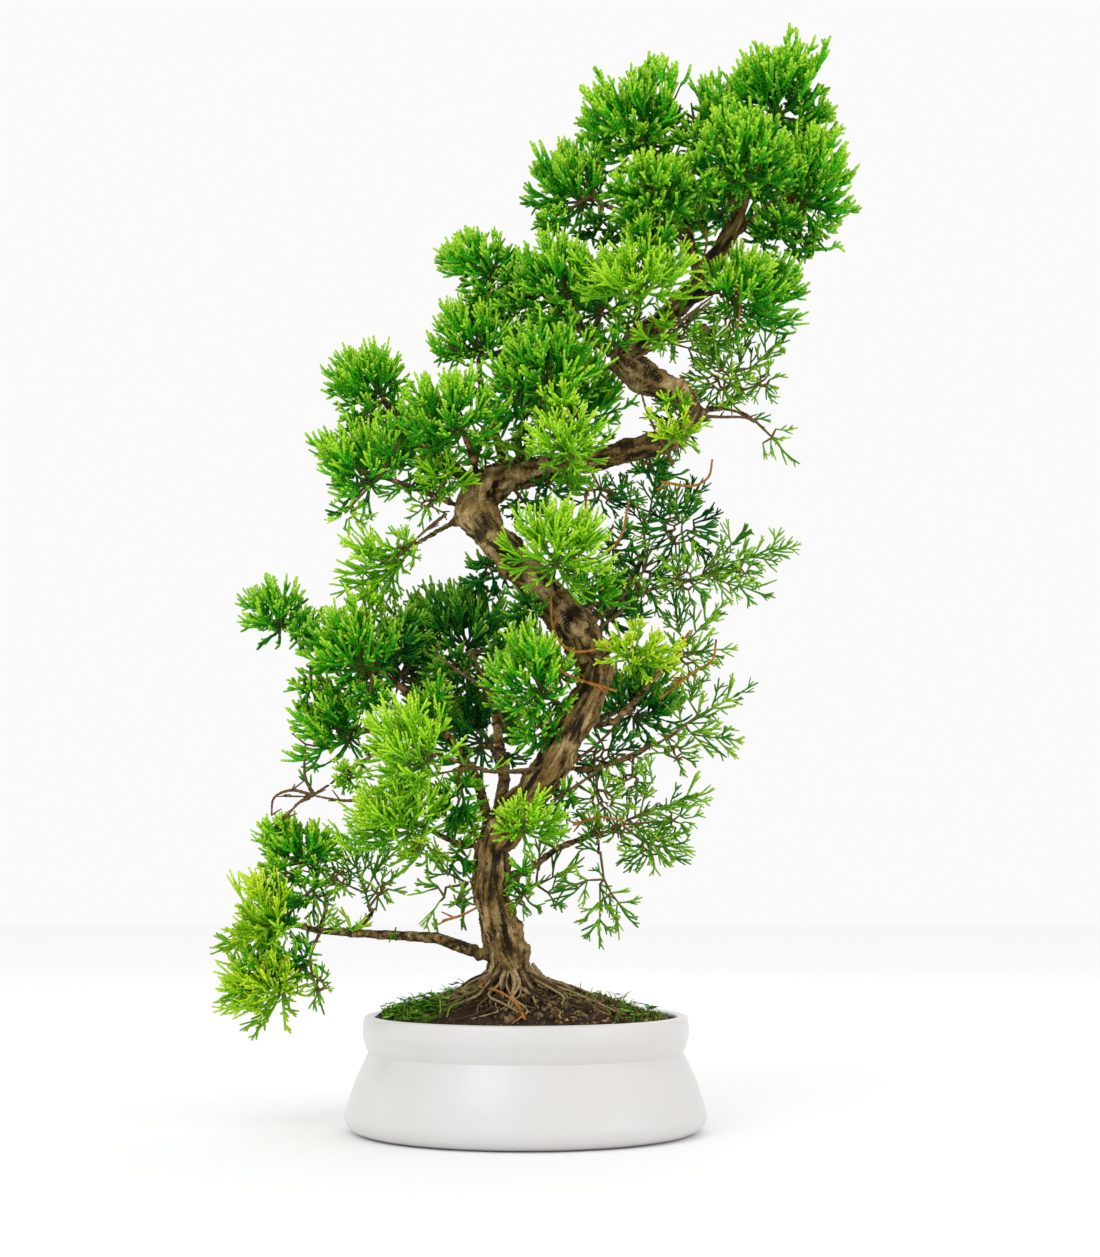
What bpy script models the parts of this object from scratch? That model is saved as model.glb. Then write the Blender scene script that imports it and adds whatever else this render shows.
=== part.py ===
"""Chinese juniper bonsai in a round white pot.

Metres, +Z up, origin at the centre of the pot's flat foot. -Y is the side that is meant to be seen, and the
tree leans to +X. The pot, the soil, the two drain screens and the wood are one object each, and each tuft of
foliage that one twig carries is an object of its own. Every tuft stands on the flat cut end of its twig.
"""

import math
import random
from dataclasses import dataclass

import bmesh
import bpy
import numpy as np
from mathutils import Quaternion, Vector

SEAT_GAP = 0.0003
SEED = 7

# Pot
POT_HEIGHT = 0.0455
POT_WALL = 0.005
POT_SEGMENTS = 28
RIM_RADIUS = 0.0645
BAND_RADIUS = 0.0651
NECK_RADIUS = 0.0628
NECK_HEIGHT = 0.0310
BELLY_RADIUS = 0.0722
BELLY_HEIGHT = 0.0065
FOOT_RADIUS = 0.0640
FLARE_BULGE = 0.0007
DRAIN_RADIUS = 0.005
DRAIN_OFFSET = 0.028
SCREEN_SIDE = 0.0170
SCREEN_THICKNESS = 0.0014
SCREEN_BARS = 3
SCREEN_BAR_WIDTH = 0.0022

# Soil
SOIL_EDGE_HEIGHT = POT_HEIGHT - 0.0020
MOUND_RISE = 0.0180
MOUND_STEEPNESS = 0.8
MOUND_CENTRE = Vector((-0.005, 0.002))
SOIL_RINGS = (0.28, 0.56, 0.82)
SOIL_LUMP = 0.0009

# Wood
TRUNK_SIDES = 9
TRUNK_STEPS = 1
TRUNK_FLUTING = 0.13
TRUNK_TWIST = 0.55
LIMB_SIDES = 4
LIMB_STEPS = 2
MANY_WAY_POINTS = 2
LIMB_TIP_RADIUS = 0.0010
LIMB_ARCH = 0.10
TWIG_SIDES = 3
ROOT_SIDES = 5
ROOT_CLEARANCE = 0.0004

# Each trunk point: x, y, z, radius
TRUNK = (
    (-0.0065, 0.000, 0.044, 0.0128),
    (-0.0065, 0.000, 0.058, 0.0104),
    (-0.0080, 0.000, 0.068, 0.0084),
    (-0.0115, 0.000, 0.081, 0.0078),
    (-0.0145, -0.001, 0.097, 0.0074),
    (-0.0130, -0.003, 0.113, 0.0070),
    (-0.0020, -0.005, 0.128, 0.0070),
    (0.0100, -0.007, 0.143, 0.0072),
    (0.0185, -0.006, 0.159, 0.0070),
    (0.0265, -0.003, 0.175, 0.0066),
    (0.0275, 0.000, 0.187, 0.0072),
    (0.0210, -0.003, 0.200, 0.0088),
    (0.0090, -0.008, 0.213, 0.0080),
    (-0.0030, -0.010, 0.225, 0.0072),
    (-0.0135, -0.009, 0.237, 0.0070),
    (-0.0210, -0.004, 0.248, 0.0078),
    (-0.0180, 0.001, 0.258, 0.0080),
    (-0.0080, 0.005, 0.265, 0.0068),
    (0.0080, 0.008, 0.269, 0.0054),
    (0.0260, 0.007, 0.272, 0.0048),
    (0.0450, 0.004, 0.276, 0.0046),
    (0.0610, -0.001, 0.280, 0.0050),
    (0.0690, -0.005, 0.290, 0.0052),
    (0.0620, -0.007, 0.298, 0.0056),
    (0.0490, -0.004, 0.304, 0.0068),
    (0.0390, 0.000, 0.312, 0.0066),
    (0.0450, 0.003, 0.322, 0.0050),
    (0.0580, 0.004, 0.332, 0.0044),
    (0.0720, 0.002, 0.346, 0.0044),
    (0.0810, 0.000, 0.360, 0.0041),
    (0.0870, -0.001, 0.372, 0.0036),
    (0.0910, 0.000, 0.384, 0.0029),
    (0.0955, 0.001, 0.396, 0.0022),
)

# Each surface root: direction in degrees from +X, reach from the trunk's foot, radius at the trunk
ROOTS = (
    (222, 0.043, 0.0046),
    (262, 0.030, 0.0026),
    (287, 0.033, 0.0024),
    (322, 0.040, 0.0036),
    (8, 0.044, 0.0040),
    (75, 0.034, 0.0032),
    (140, 0.036, 0.0038),
    (184, 0.034, 0.0030),
)


# Each bare twig: its points, and the radii of its two ends
BARE_TWIGS = (
    (((0.040, 0.000, 0.313), (0.052, -0.006, 0.316), (0.063, -0.010, 0.324), (0.074, -0.013, 0.333)), 0.0016, 0.0007),
    (((0.057, -0.008, 0.319), (0.066, -0.011, 0.320), (0.072, -0.014, 0.324)), 0.0010, 0.0006),
    (((-0.052, 0.008, 0.157), (-0.072, 0.002, 0.143), (-0.087, 0.003, 0.133), (-0.102, 0.004, 0.133)), 0.0012, 0.0006),
    (((-0.086, 0.003, 0.134), (-0.092, 0.002, 0.130), (-0.098, 0.000, 0.125)), 0.0009, 0.0006),
    (((0.044, 0.011, 0.224), (0.033, -0.002, 0.236), (0.037, -0.008, 0.248)), 0.0010, 0.0006),
    (((0.025, -0.0035, 0.1165), (0.031, -0.010, 0.121), (0.039, -0.012, 0.121)), 0.0011, 0.0006),
)


@dataclass
class Tuft:
    """One tuft of foliage and the limb that carries it. The limb leaves its parent at the given place, counted
    in points of the trunk or as a share of another limb, and goes through the way points if it has any."""

    name: str
    centre: tuple
    radii: tuple
    parent: str
    leaves_at: float
    base_radius: float
    way: tuple = ()
    bushy: bool = True


TUFTS = (
    Tuft("apex_top", (0.107, 0.004, 0.429), (0.026, 0.023, 0.026), "trunk", 31, 0.0020, ((0.098, 0.003, 0.402),)),
    Tuft("apex_left", (0.079, 0.006, 0.420), (0.014, 0.016, 0.020), "trunk", 31, 0.0015, ((0.086, 0.004, 0.400),)),
    Tuft("apex_right", (0.119, -0.004, 0.385), (0.018, 0.019, 0.026), "trunk", 29, 0.0018),
    Tuft("apex_front", (0.087, -0.028, 0.392), (0.023, 0.018, 0.022), "trunk", 30, 0.0016),
    Tuft("apex_back", (0.102, 0.034, 0.402), (0.025, 0.018, 0.024), "trunk", 30, 0.0016),
    Tuft("crown_left", (0.047, 0.001, 0.418), (0.027, 0.022, 0.024), "trunk", 28, 0.0024,
         ((0.067, 0.001, 0.368), (0.056, 0.001, 0.388))),
    Tuft("crown_front", (0.052, -0.026, 0.376), (0.023, 0.017, 0.019), "crown_left", 0.4, 0.0014),
    Tuft("crown_far_left", (0.018, 0.010, 0.390), (0.019, 0.018, 0.023), "crown_left", 0.3, 0.0014,
         ((0.046, 0.004, 0.375), (0.032, 0.006, 0.380))),
    Tuft("crown_back", (0.060, 0.034, 0.381), (0.023, 0.018, 0.021), "trunk", 28, 0.0016),
    Tuft("upper_front", (0.046, -0.029, 0.342), (0.025, 0.018, 0.018), "trunk", 26, 0.0017),
    Tuft("upper_back", (0.028, 0.036, 0.346), (0.023, 0.017, 0.020), "trunk", 26, 0.0016),
    Tuft("upper_tip_left", (-0.019, -0.004, 0.355), (0.021, 0.016, 0.013), "trunk", 25, 0.0020,
         ((0.024, 0.002, 0.324), (0.006, -0.001, 0.341))),
    Tuft("upper_left", (0.012, -0.016, 0.345), (0.021, 0.017, 0.020), "upper_tip_left", 0.35, 0.0013),
    Tuft("left_high", (-0.021, 0.004, 0.326), (0.021, 0.019, 0.021), "trunk", 17, 0.0021,
         ((-0.013, 0.004, 0.282), (-0.019, 0.003, 0.300))),
    Tuft("left_knob", (-0.065, -0.004, 0.304), (0.019, 0.018, 0.017), "trunk", 16, 0.0020,
         ((-0.034, -0.001, 0.268), (-0.050, -0.002, 0.283))),
    Tuft("left_front", (-0.030, -0.027, 0.286), (0.024, 0.018, 0.020), "trunk", 16, 0.0018),
    Tuft("left_loose", (-0.071, -0.014, 0.266), (0.022, 0.019, 0.022), "trunk", 15, 0.0018,
         ((-0.036, -0.008, 0.254),)),
    Tuft("left_back", (-0.048, 0.031, 0.281), (0.026, 0.018, 0.022), "trunk", 16, 0.0017),
    Tuft("centre_high", (0.009, -0.016, 0.307), (0.024, 0.018, 0.021), "trunk", 17, 0.0018,
         ((0.004, 0.000, 0.283),)),
    Tuft("centre_bright", (0.016, -0.032, 0.273), (0.018, 0.015, 0.015), "trunk", 18, 0.0014),
    Tuft("centre_back", (0.020, 0.038, 0.306), (0.026, 0.018, 0.023), "trunk", 19, 0.0018,
         ((0.026, 0.022, 0.283),)),
    Tuft("right_high", (0.092, -0.010, 0.340), (0.025, 0.020, 0.021), "trunk", 27, 0.0017),
    Tuft("right_mid", (0.089, 0.015, 0.314), (0.022, 0.016, 0.018), "trunk", 22, 0.0016,
         ((0.080, 0.002, 0.293), (0.089, 0.006, 0.299)), False),
    Tuft("right_knee", (0.068, 0.020, 0.325), (0.018, 0.014, 0.014), "trunk", 26, 0.0013,
         ((0.052, 0.010, 0.322),), False),
    Tuft("right_tip", (0.099, 0.002, 0.282), (0.007, 0.006, 0.008), "right_mid", 0.3, 0.0010,
         ((0.090, 0.001, 0.290),), False),
    Tuft("front_pale", (0.060, -0.027, 0.278), (0.013, 0.011, 0.011), "trunk", 22, 0.0013),
    Tuft("left_hang", (-0.060, -0.006, 0.226), (0.019, 0.015, 0.018), "trunk", 15, 0.0015,
         ((-0.033, -0.006, 0.242), (-0.043, -0.006, 0.236)), False),
    Tuft("centre_front", (0.014, -0.035, 0.230), (0.023, 0.016, 0.021), "trunk", 12, 0.0016),
    Tuft("right_back", (0.052, 0.021, 0.255), (0.026, 0.018, 0.023), "trunk", 11, 0.0018,
         ((0.040, 0.008, 0.214), (0.048, 0.014, 0.232)), False),
    Tuft("right_long", (0.083, 0.008, 0.228), (0.027, 0.016, 0.018), "right_back", 0.35, 0.0013,
         ((0.054, 0.009, 0.219),), False),
    Tuft("behind_bend", (0.033, 0.033, 0.216), (0.020, 0.015, 0.017), "trunk", 11, 0.0015),
    Tuft("front_yellow", (0.045, -0.031, 0.189), (0.018, 0.013, 0.013), "trunk", 10, 0.0014),
    Tuft("right_upper", (0.067, 0.010, 0.197), (0.018, 0.015, 0.018), "trunk", 8, 0.0016,
         ((0.036, 0.000, 0.163), (0.049, 0.004, 0.177)), False),
    Tuft("right_dark", (0.070, 0.006, 0.165), (0.023, 0.018, 0.020), "trunk", 7, 0.0017,
         ((0.028, -0.001, 0.144), (0.043, 0.003, 0.149)), False),
    Tuft("right_low", (0.050, -0.006, 0.126), (0.024, 0.018, 0.023), "trunk", 4, 0.0018,
         ((0.002, 0.000, 0.104), (0.013, -0.002, 0.112), (0.026, -0.004, 0.117)), False),
    Tuft("right_droop", (0.029, -0.015, 0.094), (0.017, 0.014, 0.018), "right_low", 0.8, 0.0011,
         ((0.029, -0.009, 0.113),), False),
    Tuft("right_rear", (0.048, 0.042, 0.175), (0.023, 0.017, 0.021), "trunk", 8, 0.0017,
         ((0.036, 0.020, 0.168),)),
    Tuft("left_dark", (-0.028, 0.014, 0.205), (0.029, 0.020, 0.021), "trunk", 5, 0.0034,
         ((-0.009, 0.007, 0.140), (-0.013, 0.011, 0.168))),
    Tuft("left_shoulder", (-0.071, -0.006, 0.193), (0.022, 0.019, 0.020), "trunk", 5, 0.0026,
         ((-0.020, 0.004, 0.140), (-0.036, 0.004, 0.163), (-0.051, 0.000, 0.177))),
    Tuft("left_point", (-0.103, 0.002, 0.208), (0.017, 0.014, 0.017), "left_shoulder", 0.8, 0.0013,
         ((-0.068, 0.015, 0.178), (-0.088, 0.012, 0.189))),
    Tuft("left_edge", (-0.080, 0.010, 0.161), (0.021, 0.017, 0.020), "left_shoulder", 0.5, 0.0014,
         ((-0.050, 0.008, 0.158),)),
    Tuft("left_rear", (-0.056, 0.036, 0.190), (0.022, 0.016, 0.020), "left_shoulder", 0.5, 0.0015,
         ((-0.042, 0.018, 0.172),)),
    Tuft("left_bright", (-0.045, -0.031, 0.152), (0.021, 0.017, 0.020), "trunk", 7, 0.0013,
         ((-0.014, -0.016, 0.142),)),
    Tuft("left_low_bright", (-0.051, -0.019, 0.126), (0.026, 0.019, 0.019), "trunk", 5, 0.0017,
         ((-0.026, -0.006, 0.113),)),
    Tuft("back_low", (-0.022, 0.042, 0.163), (0.025, 0.018, 0.022), "left_dark", 0.3, 0.0016),
    Tuft("centre_low", (0.002, -0.018, 0.181), (0.019, 0.016, 0.023), "trunk", 8, 0.0014),
    Tuft("front_low", (0.002, -0.036, 0.122), (0.017, 0.014, 0.014), "trunk", 5, 0.0014),
    Tuft("trunk_right", (0.006, 0.006, 0.097), (0.010, 0.009, 0.012), "trunk", 3, 0.0011, (), False),
    Tuft("trunk_left", (-0.030, -0.006, 0.097), (0.009, 0.009, 0.011), "trunk", 4, 0.0011, (), False),
    Tuft("low_left", (-0.108, -0.004, 0.086), (0.018, 0.019, 0.020), "trunk", 2, 0.0032,
         ((-0.022, 0.000, 0.071), (-0.036, -0.001, 0.076), (-0.052, -0.002, 0.077), (-0.070, -0.003, 0.078),
          (-0.084, -0.003, 0.079))),
    Tuft("low_left_tip", (-0.105, 0.002, 0.056), (0.019, 0.017, 0.019), "low_left", 0.85, 0.0013,
         ((-0.090, 0.000, 0.069),)),
    Tuft("low_left_top", (-0.093, 0.006, 0.113), (0.019, 0.015, 0.014), "low_left", 0.72, 0.0018,
         ((-0.080, 0.000, 0.090),)),
    Tuft("low_left_in", (-0.067, 0.008, 0.098), (0.014, 0.012, 0.014), "low_left", 0.6, 0.0011,
         ((-0.062, 0.001, 0.086),), False),
)

# Foliage
CORE_SHARES = (0.40, 0.35, 0.30)
CORE_LUMPS = 0.12
NEEDLES_PER_AREA = 52000.0
NEEDLE_REACH = (0.88, 1.18)
UPSWEEP = 0.30
FORWARD = 0.22
SHORTENINGS = (1.0, 0.8, 0.62, 0.46)
SPRAY_LENGTH = 1.7
SPRAY_RADIUS = 0.0010
SPRAY_PITCH = 0.0045
SPRAY_NEEDLE = 0.0100
SIDE_SPRAYS = ((0.22, 20, 0.95), (0.34, 195, 0.95), (0.50, -30, 0.85), (0.60, 150, 0.80), (0.45, 95, 0.60))
THIN_LIMB = 0.0015
CLEARANCE = 0.0005

COLOURS = {
    "white_glaze": ((0.84, 0.83, 0.82), 0.30),
    "soil": ((0.055, 0.036, 0.022), 0.95),
    "bark": ((0.20, 0.125, 0.07), 0.85),
    "green": ((0.07, 0.30, 0.03), 0.55),
    "black_mesh": ((0.03, 0.03, 0.03), 0.60),
}


def clear_scene():
    for obj in list(bpy.data.objects):
        bpy.data.objects.remove(obj)


def make_materials():
    made = {}
    for name, (colour, roughness) in COLOURS.items():
        made[name] = bpy.data.materials.new(name)
        made[name].use_nodes = True
        shader = made[name].node_tree.nodes["Principled BSDF"]
        shader.inputs["Base Color"].default_value = (*colour, 1.0)
        shader.inputs["Roughness"].default_value = roughness
        made[name].diffuse_color = (*colour, 1.0)
    return made


def object_from(name, bm, material, collection=None):
    bmesh.ops.recalc_face_normals(bm, faces=bm.faces)
    mesh = bpy.data.meshes.new(name)
    bm.to_mesh(mesh)
    bm.free()
    mesh.materials.append(material)
    obj = bpy.data.objects.new(name, mesh)
    (collection or bpy.context.scene.collection).objects.link(obj)
    return obj


def settle(obj):
    """Replaces the object's mesh by what its modifiers make of it."""
    graph = bpy.context.evaluated_depsgraph_get()
    made = bpy.data.meshes.new_from_object(obj.evaluated_get(graph))
    obj.modifiers.clear()
    obj.data = made


def cut(target, cutter):
    """Takes the cutter's shape out of the target, and the cutter out of the scene."""
    modifier = target.modifiers.new("cut", "BOOLEAN")
    modifier.operation = "DIFFERENCE"
    modifier.object = cutter
    modifier.solver = "MANIFOLD"
    settle(target)
    bpy.data.objects.remove(cutter)


def join(target, collection):
    """Makes one body of the target and every object of the collection, and removes those."""
    modifier = target.modifiers.new("join", "BOOLEAN")
    modifier.operation = "UNION"
    modifier.operand_type = "COLLECTION"
    modifier.collection = collection
    modifier.solver = "MANIFOLD"
    settle(target)
    for obj in list(collection.objects):
        bpy.data.objects.remove(obj)
    bpy.data.collections.remove(collection)


def new_collection(name):
    made = bpy.data.collections.new(name)
    bpy.context.scene.collection.children.link(made)
    return made


def smooth_path(points, steps):
    """Points on a Catmull-Rom curve through the given ones, steps of them for each span. Works on any number of
    coordinates, so a radius can come along as a fourth one."""
    given = [np.array(p, float) for p in points]
    padded = [2 * given[0] - given[1], *given, 2 * given[-1] - given[-2]]
    path = []
    for a, b, c, d in zip(padded, padded[1:], padded[2:], padded[3:]):
        for step in range(steps):
            t = step / steps
            path.append(
                0.5 * (2 * b + (c - a) * t + (2 * a - 5 * b + 4 * c - d) * t**2 + (3 * b - a - 3 * c + d) * t**3)
            )
    path.append(given[-1])
    return path


def frames_along(points):
    """A direction and two sideways directions at each point, turned as little as possible from one to the next."""
    directions = []
    for index in range(len(points)):
        before, after = points[max(index - 1, 0)], points[min(index + 1, len(points) - 1)]
        directions.append((after - before).normalized())
    side = directions[0].cross(Vector((0.31, -0.87, 0.38)))
    frames = []
    for previous, direction in zip([directions[0], *directions], directions):
        side = previous.rotation_difference(direction) @ side
        side = (side - side.dot(direction) * direction).normalized()
        frames.append((direction, side, direction.cross(side)))
    return frames


def tube(path, sides, fluting=0.0, twist=0.0):
    """A closed tube round a path of x, y, z, radius. Fluting makes it three-lobed, and twist turns the lobes."""
    bm = bmesh.new()
    points = [Vector(p[:3]) for p in path]
    rings = []
    for index, (point, (_, side, other)) in enumerate(zip(points, frames_along(points))):
        ring = []
        for k in range(sides):
            angle = 2 * math.pi * k / sides
            radius = float(path[index][3]) * (1 + fluting * math.cos(3 * angle + twist * index))
            ring.append(bm.verts.new(point + radius * (math.cos(angle) * side + math.sin(angle) * other)))
        rings.append(ring)
    for low, high in zip(rings, rings[1:]):
        for k in range(sides):
            n = (k + 1) % sides
            bm.faces.new((low[k], low[n], high[n]))
            bm.faces.new((low[k], high[n], high[k]))
    bm.faces.new(list(reversed(rings[0])))
    bm.faces.new(rings[-1])
    return bm


def pot_outside():
    """The pot's outer profile from the foot to the rim, as radius and height."""
    corner = []
    steps = 3
    for k in range(steps):
        angle = math.pi / 2 * k / steps
        corner.append(
            (
                FOOT_RADIUS + (BELLY_RADIUS - FOOT_RADIUS) * math.sin(angle),
                BELLY_HEIGHT * (1 - math.cos(angle)),
            )
        )
    flare = []
    for k in range(steps):
        t = k / steps
        bulge = FLARE_BULGE * math.sin(math.pi * t)
        flare.append(
            (
                BELLY_RADIUS + (NECK_RADIUS - BELLY_RADIUS) * t + bulge,
                BELLY_HEIGHT + (NECK_HEIGHT - BELLY_HEIGHT) * t,
            )
        )
    neck = [(NECK_RADIUS, NECK_HEIGHT)]
    band = [(BAND_RADIUS - 0.0006, NECK_HEIGHT + 0.0050), (BAND_RADIUS, POT_HEIGHT - 0.0045)]
    return corner + flare + neck + band + [(RIM_RADIUS, POT_HEIGHT - 0.0007), (RIM_RADIUS - 0.0009, POT_HEIGHT)]


def pot_inside(inset):
    """The pot's inner profile from the middle of its floor to the rim, drawn in by inset."""
    floor = POT_WALL + 0.001 + inset
    wall = POT_WALL + inset
    return [
        (BELLY_RADIUS - wall - 0.005, floor),
        (BELLY_RADIUS - wall, BELLY_HEIGHT + 0.004),
        (BELLY_RADIUS + 0.5 * (NECK_RADIUS - BELLY_RADIUS) - wall + 0.0012, 0.5 * (BELLY_HEIGHT + NECK_HEIGHT)),
        (NECK_RADIUS - wall, NECK_HEIGHT),
        (RIM_RADIUS - wall + 0.0006, POT_HEIGHT - 0.0040),
    ]


def turned(profile, segments):
    """The profile spun round the Z axis; its first and last points lie on the axis."""
    bm = bmesh.new()
    corners = [bm.verts.new((radius, 0.0, height)) for radius, height in profile]
    edges = [bm.edges.new(pair) for pair in zip(corners, corners[1:])]
    bmesh.ops.spin(
        bm, geom=corners + edges, axis=(0, 0, 1), cent=(0, 0, 0), angle=2 * math.pi, steps=segments, use_duplicate=False
    )
    bmesh.ops.remove_doubles(bm, verts=bm.verts, dist=1e-6)
    return bm


def build_pot(materials):
    inside = list(reversed(pot_inside(0.0)))
    lip = [(RIM_RADIUS - POT_WALL + 0.0012, POT_HEIGHT)]
    profile = [(0.0, 0.0), *pot_outside(), *lip, *inside, (0.0, inside[-1][1])]
    pot = object_from("pot", turned(profile, POT_SEGMENTS), materials["white_glaze"])
    for side in (-1, 1):
        bm = bmesh.new()
        bmesh.ops.create_cone(bm, cap_ends=True, segments=12, radius1=DRAIN_RADIUS, radius2=DRAIN_RADIUS, depth=0.03)
        bmesh.ops.translate(bm, verts=bm.verts, vec=(side * DRAIN_OFFSET, 0, 0))
        cut(pot, object_from("drain", bm, materials["white_glaze"]))
    pot.data.shade_smooth()
    pot.data.set_sharp_from_angle(angle=math.radians(35))


def grid_plate(side, thickness, bars, bar_width):
    """A square plate of crossed bars, with open meshes between them, its underside at height 0."""
    pitch = (side - bar_width) / (bars - 1)
    lines = []
    for k in range(bars):
        middle = -side / 2 + bar_width / 2 + k * pitch
        lines += [middle - bar_width / 2, middle + bar_width / 2]
    bm = bmesh.new()
    grid = [[bm.verts.new((x, y, 0.0)) for y in lines] for x in lines]
    for i in range(len(lines) - 1):
        for j in range(len(lines) - 1):
            if i % 2 and j % 2:
                continue
            bm.faces.new((grid[i][j], grid[i + 1][j], grid[i + 1][j + 1], grid[i][j + 1]))
    raised = bmesh.ops.extrude_face_region(bm, geom=bm.faces[:])["geom"]
    corners = [item for item in raised if isinstance(item, bmesh.types.BMVert)]
    bmesh.ops.translate(bm, verts=corners, vec=(0, 0, thickness))
    return bm


def build_drain_screens(materials):
    height = POT_WALL + 0.001 + SEAT_GAP
    for name, side in (("drain_screen_left", -1), ("drain_screen_right", 1)):
        bm = grid_plate(SCREEN_SIDE, SCREEN_THICKNESS, SCREEN_BARS, SCREEN_BAR_WIDTH)
        bmesh.ops.translate(bm, verts=bm.verts, vec=(side * DRAIN_OFFSET, 0, height))
        object_from(name, bm, materials["black_mesh"])


def soil_height(x, y):
    """Height of the mound's surface, which falls from the trunk's foot to the pot's edge."""
    away = (Vector((x, y)) - MOUND_CENTRE).length / (RIM_RADIUS - POT_WALL)
    fall = 1.0 - min(1.0, away) ** MOUND_STEEPNESS
    lumps = math.sin(310 * x + 1.3) * math.cos(270 * y) + 0.6 * math.sin(520 * y + 400 * x)
    return SOIL_EDGE_HEIGHT + MOUND_RISE * fall + SOIL_LUMP * lumps * min(1.0, 4 * max(0.0, 1.0 - away))


def root_path(direction, reach, radius):
    """A root as x, y, z, radius: it leaves the trunk's foot, follows the mound half sunk, and dives at its end."""
    angle = math.radians(direction)
    foot = Vector(TRUNK[1][:3])
    path = [(foot.x, foot.y, foot.z + 0.002, radius)]
    steps = 4
    for k in range(1, steps + 1):
        share = k / steps
        bend = 0.22 * math.sin(2.4 * share + direction)
        x = foot.x + reach * share * math.cos(angle + bend)
        y = foot.y + reach * share * math.sin(angle + bend)
        sunk = 0.2 * radius if k < steps else -0.0035
        path.append((x, y, soil_height(x, y) + sunk, radius * (1 - 0.62 * share)))
    return path


def build_soil(materials, trunk):
    """The soil body fills the pot's inside, heaped up to the trunk, with a plain hole where the wood stands."""
    bm = bmesh.new()
    side_profile = pot_inside(SEAT_GAP)
    surface_radius = side_profile[-1][0]
    rings = []
    for radius, height in side_profile:
        rings.append([(radius, height)] * POT_SEGMENTS)
    for share in reversed(SOIL_RINGS):
        rings.append([(surface_radius * share, None)] * POT_SEGMENTS)
    grid = []
    for ring in rings:
        row = []
        for k, (radius, height) in enumerate(ring):
            angle = 2 * math.pi * k / POT_SEGMENTS
            x, y = radius * math.cos(angle), radius * math.sin(angle)
            row.append(bm.verts.new((x, y, soil_height(x, y) if height is None else height)))
        grid.append(row)
    for low, high in zip(grid, grid[1:]):
        for k in range(POT_SEGMENTS):
            n = (k + 1) % POT_SEGMENTS
            bm.faces.new((low[k], low[n], high[n], high[k]))
    bm.faces.new(list(reversed(grid[0])))
    top = bm.verts.new((0, 0, soil_height(0, 0)))
    for k in range(POT_SEGMENTS):
        bm.faces.new((grid[-1][k], grid[-1][(k + 1) % POT_SEGMENTS], top))
    soil = object_from("soil", bm, materials["soil"])

    seat = new_collection("seat")
    stem = [(*p[:3], p[3] + ROOT_CLEARANCE) for p in trunk]
    below = Vector(stem[0][:3]) - ROOT_CLEARANCE * (Vector(stem[1][:3]) - Vector(stem[0][:3])).normalized()
    stem[0] = (*below, stem[0][3])
    hole = object_from("hole", tube(stem, TRUNK_SIDES, TRUNK_FLUTING, TRUNK_TWIST), materials["soil"])
    for direction, reach, radius in ROOTS:
        way = [(*p[:3], p[3] + ROOT_CLEARANCE) for p in root_path(direction, reach, radius)]
        end = Vector(way[-1][:3]) - Vector(way[-2][:3])
        last = Vector(way[-1][:3]) + end.normalized() * ROOT_CLEARANCE
        way[-1] = (*last, way[-1][3])
        object_from("root_hole", tube(way, ROOT_SIDES), materials["soil"], seat)
    join(hole, seat)
    cut(soil, hole)
    for side in (-1, 1):
        bm = bmesh.new()
        bmesh.ops.create_cube(bm, size=1.0)
        width = SCREEN_SIDE + 2 * SEAT_GAP
        depth = 2 * (SCREEN_THICKNESS + SEAT_GAP)
        bmesh.ops.scale(bm, verts=bm.verts, vec=(width, width, depth))
        bmesh.ops.translate(bm, verts=bm.verts, vec=(side * DRAIN_OFFSET, 0, POT_WALL + 0.001 + SEAT_GAP))
        cut(soil, object_from("pocket", bm, materials["soil"]))
    soil.data.shade_smooth()
    soil.data.set_sharp_from_angle(angle=math.radians(40))


def limb_paths():
    """Each limb's path as x, y, z, radius, by the name of the tuft on its end, with the trunk's under its own.
    A limb ends in a flat cut, short of where its tuft's core begins."""
    paths = {"trunk": smooth_path(TRUNK, TRUNK_STEPS)}
    for tuft in TUFTS:
        parent = paths[tuft.parent]
        place = tuft.leaves_at * TRUNK_STEPS if tuft.parent == "trunk" else tuft.leaves_at * (len(parent) - 1)
        start = parent[round(place)]
        centre = Vector(tuft.centre)
        middle = Vector(start[:3]).lerp(centre, 0.5)
        middle.z += LIMB_ARCH * (centre - Vector(start[:3])).length
        way = tuft.way or (tuple(middle),)
        back = Vector(way[-1]) - centre
        edge = 1 / math.sqrt(sum((back[k] / back.length / tuft.radii[k]) ** 2 for k in range(3)))
        share = CORE_SHARES[0] + 0.14 if tuft.bushy else 0.92
        end = centre + back.normalized() * min(share * edge, back.length - 0.002)
        base = min(tuft.base_radius, 0.8 * float(start[3]))
        points = [tuple(start[:3]), *way, tuple(end)]
        radii = [base + (LIMB_TIP_RADIUS - base) * k / (len(points) - 1) for k in range(len(points))]
        steps = LIMB_STEPS if len(way) < MANY_WAY_POINTS else 1
        path = smooth_path([(*p, r) for p, r in zip(points, radii)], steps)
        before = end - (end - Vector(way[-1])).normalized() * 0.0012
        path.insert(len(path) - 1, np.array([*before, LIMB_TIP_RADIUS]))
        paths[tuft.name] = path
    return paths


def sides_of(limb):
    return LIMB_SIDES if limb[0][3] > THIN_LIMB else TWIG_SIDES


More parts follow.
